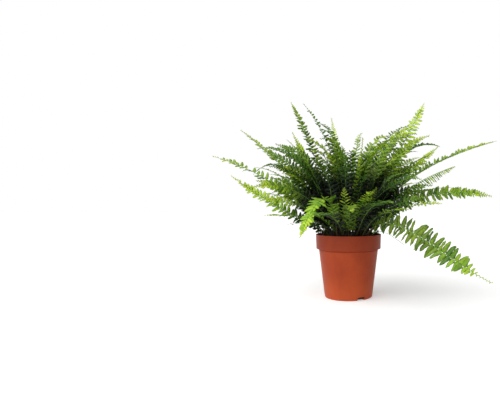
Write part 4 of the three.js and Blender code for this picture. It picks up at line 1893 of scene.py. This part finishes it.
@dataclass(frozen=True)
class Litter:
    """Dark stubs of old stipes and stiff root fibres that stand up round the crown.

    Each leans outwards and turns a little round the crown. knee is where its middle stands, as shares of its
    turn, its lean and its height.
    """

    count: int = 560
    radii: Range = (0.006, 0.0535)
    heights: Range = (0.007, 0.023)
    leans: Range = (-0.006, 0.010)
    turns: Range = (-12.0, 12.0)
    knee: Spot = (0.3, 0.2, 0.6)
    steps: int = 3
    girths: Range = (0.0003, 0.0010)
    soil_height: float = 0.101
    reach: float = 0.0565
    seed: int = 11
    finish: RibFinish = RibFinish("old_fibre", 0x0E0A06, 0x1E150D)

    def route(self, draw: np.random.Generator) -> Array:
        """Draws one stub's route.

        Args:
            draw: What its place and size are drawn from.

        Returns:
            The points that the stub follows.
        """
        azimuth = draw.uniform(0, 360)
        radius = math.sqrt(draw.uniform(self.radii[0] ** 2, self.radii[1] ** 2))
        lean = min(self.reach, radius + draw.uniform(*self.leans)) - radius
        height = draw.uniform(*self.heights)
        turn = draw.uniform(*self.turns)
        stops = ((0, 0, 0), self.knee, (1, 1, 1))
        return smooth_route(np.array([
            around(azimuth + turned * turn, radius + out * lean, self.soil_height + up * height)
            for turned, out, up in stops
        ]), self.steps)

    def make(self, wires: Wires) -> None:
        """Makes the litter.

        Args:
            wires: What makes tubes.
        """
        draw = np.random.default_rng(self.seed)
        routes = [self.route(draw) for _ in range(self.count)]
        radii = list(draw.uniform(*self.girths, self.count))
        made = wires.make("crown_litter", routes, radii, self.finish.make())
        LOG.info("crown litter: %d faces", len(made.data.polygons))


def smooth_route(points: Array, steps: int) -> Array:
    """Draws a smooth curve through points.

    Args:
        points: The points.
        steps: How many points the curve has for each stretch.

    Returns:
        The curve's points.
    """
    padded = np.concatenate([[2 * points[0] - points[1]], points, [2 * points[-1] - points[-2]]])
    found = []
    for a, b, c, d in zip(padded, padded[1:], padded[2:], padded[3:]):
        for t in np.linspace(0, 1, steps, endpoint=False):
            found.append(0.5 * (2 * b + (c - a) * t + (2 * a - 5 * b + 4 * c - d) * t ** 2
                                + (3 * b - a - 3 * c + d) * t ** 3))
    return np.array(found + [points[-1]])


@dataclass(frozen=True)
class Studio:
    """The floor, the light and the camera at the photograph's angle.

    The photograph's rows, columns and focal length are in its pixels, and turns and spreads in degrees.
    """

    photo_width: float = 500.0
    focal_pixels: float = 433.0
    axis_column: float = 348.5
    horizon_row: float = 202.0
    middle_row: float = 200.0
    distance: float = 0.800
    eye_height: float = 0.174
    sensor: float = 36.0
    floor_half: float = 6.0
    room_light: float = 0.36
    room_slant: float = 0.65
    key_strength: float = 3.4
    key_spread: float = 80.0
    key_turn: Spot = (42.0, 0.0, -48.0)
    fill_spot: Spot = (1.3, -0.9, 0.7)
    fill_aim: Spot = (0.0, 0.0, 0.18)
    fill_size: float = 1.2
    fill_watts: float = 0.4

    def make(self) -> None:
        """Sets up the studio."""
        self.camera()
        self.floor()
        self.sky()
        self.key()
        self.fill()
        bpy.context.scene.view_settings.view_transform = "Standard"

    def camera(self) -> None:
        """Makes the camera: level, with the pot's axis right of the frame's middle."""
        data = bpy.data.cameras.new("camera")
        data.sensor_width = self.sensor
        data.lens = self.focal_pixels * self.sensor / self.photo_width
        data.shift_x = (self.photo_width / 2 - self.axis_column) / self.photo_width
        data.shift_y = (self.horizon_row - self.middle_row) / self.photo_width
        made = scene_object("camera", data)
        made.location = (0, -self.distance, self.eye_height)
        made.rotation_euler = (math.pi / 2, 0, 0)
        bpy.context.scene.camera = made

    def floor(self) -> None:
        """Makes the floor."""
        half = self.floor_half
        corners = [(-half, -half, 0), (half, -half, 0), (half, half, 0), (-half, half, 0)]
        made = mesh_object("floor", corners, (), [tuple(range(len(corners)))])
        made.data.materials.append(FloorFinish().make())

    def sky(self) -> None:
        """Makes the white surroundings, which light the plant less from the right than from the left."""
        world = bpy.data.worlds.new("white_room")
        world.use_nodes = True
        net = Net(world.node_tree)
        shade = world.node_tree.nodes["Background"]
        shade.inputs["Color"].default_value = WHITE
        seen = net.node("ShaderNodeLightPath", output="Is Camera Ray")
        way = net.node("ShaderNodeTexCoord", output="Generated")
        right = net.node("ShaderNodeSeparateXYZ", {}, {0: way})
        lit = self.room_light * (1 - self.room_slant * right)
        strength = lit + seen * (1 - lit)
        world.node_tree.links.new(strength.socket, shade.inputs["Strength"])
        bpy.context.scene.world = world

    def key(self) -> None:
        """Makes the main light, a broad soft one from the upper left."""
        data = bpy.data.lights.new("key", "SUN")
        data.energy = self.key_strength
        data.angle = math.radians(self.key_spread)
        made = scene_object("key", data)
        made.rotation_euler = [math.radians(angle) for angle in self.key_turn]

    def fill(self) -> None:
        """Makes a soft square lamp at the right that looks at the plant."""
        data = bpy.data.lights.new("fill", "AREA")
        data.energy = self.fill_watts
        data.size = self.fill_size
        made = scene_object("fill", data)
        made.location = self.fill_spot
        x, y, z = np.array(self.fill_aim) - np.array(self.fill_spot)
        made.rotation_euler = (math.atan2(math.hypot(x, y), -z), 0, math.atan2(y, x) - math.pi / 2)


def main() -> None:
    """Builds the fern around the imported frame."""
    logging.basicConfig(level=logging.INFO, format="%(name)s: %(message)s")
    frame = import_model()
    Studio().make()
    Pot().make(PlasticFinish().make())
    Peat().make(PeatFinish().make())
    foliage = Foliage()
    foliage.make(frame["nodes"])
    wires = Wires()
    Runners().make(wires, foliage.rib_skin)
    Litter().make(wires)


if __name__ == "__main__":
    main()
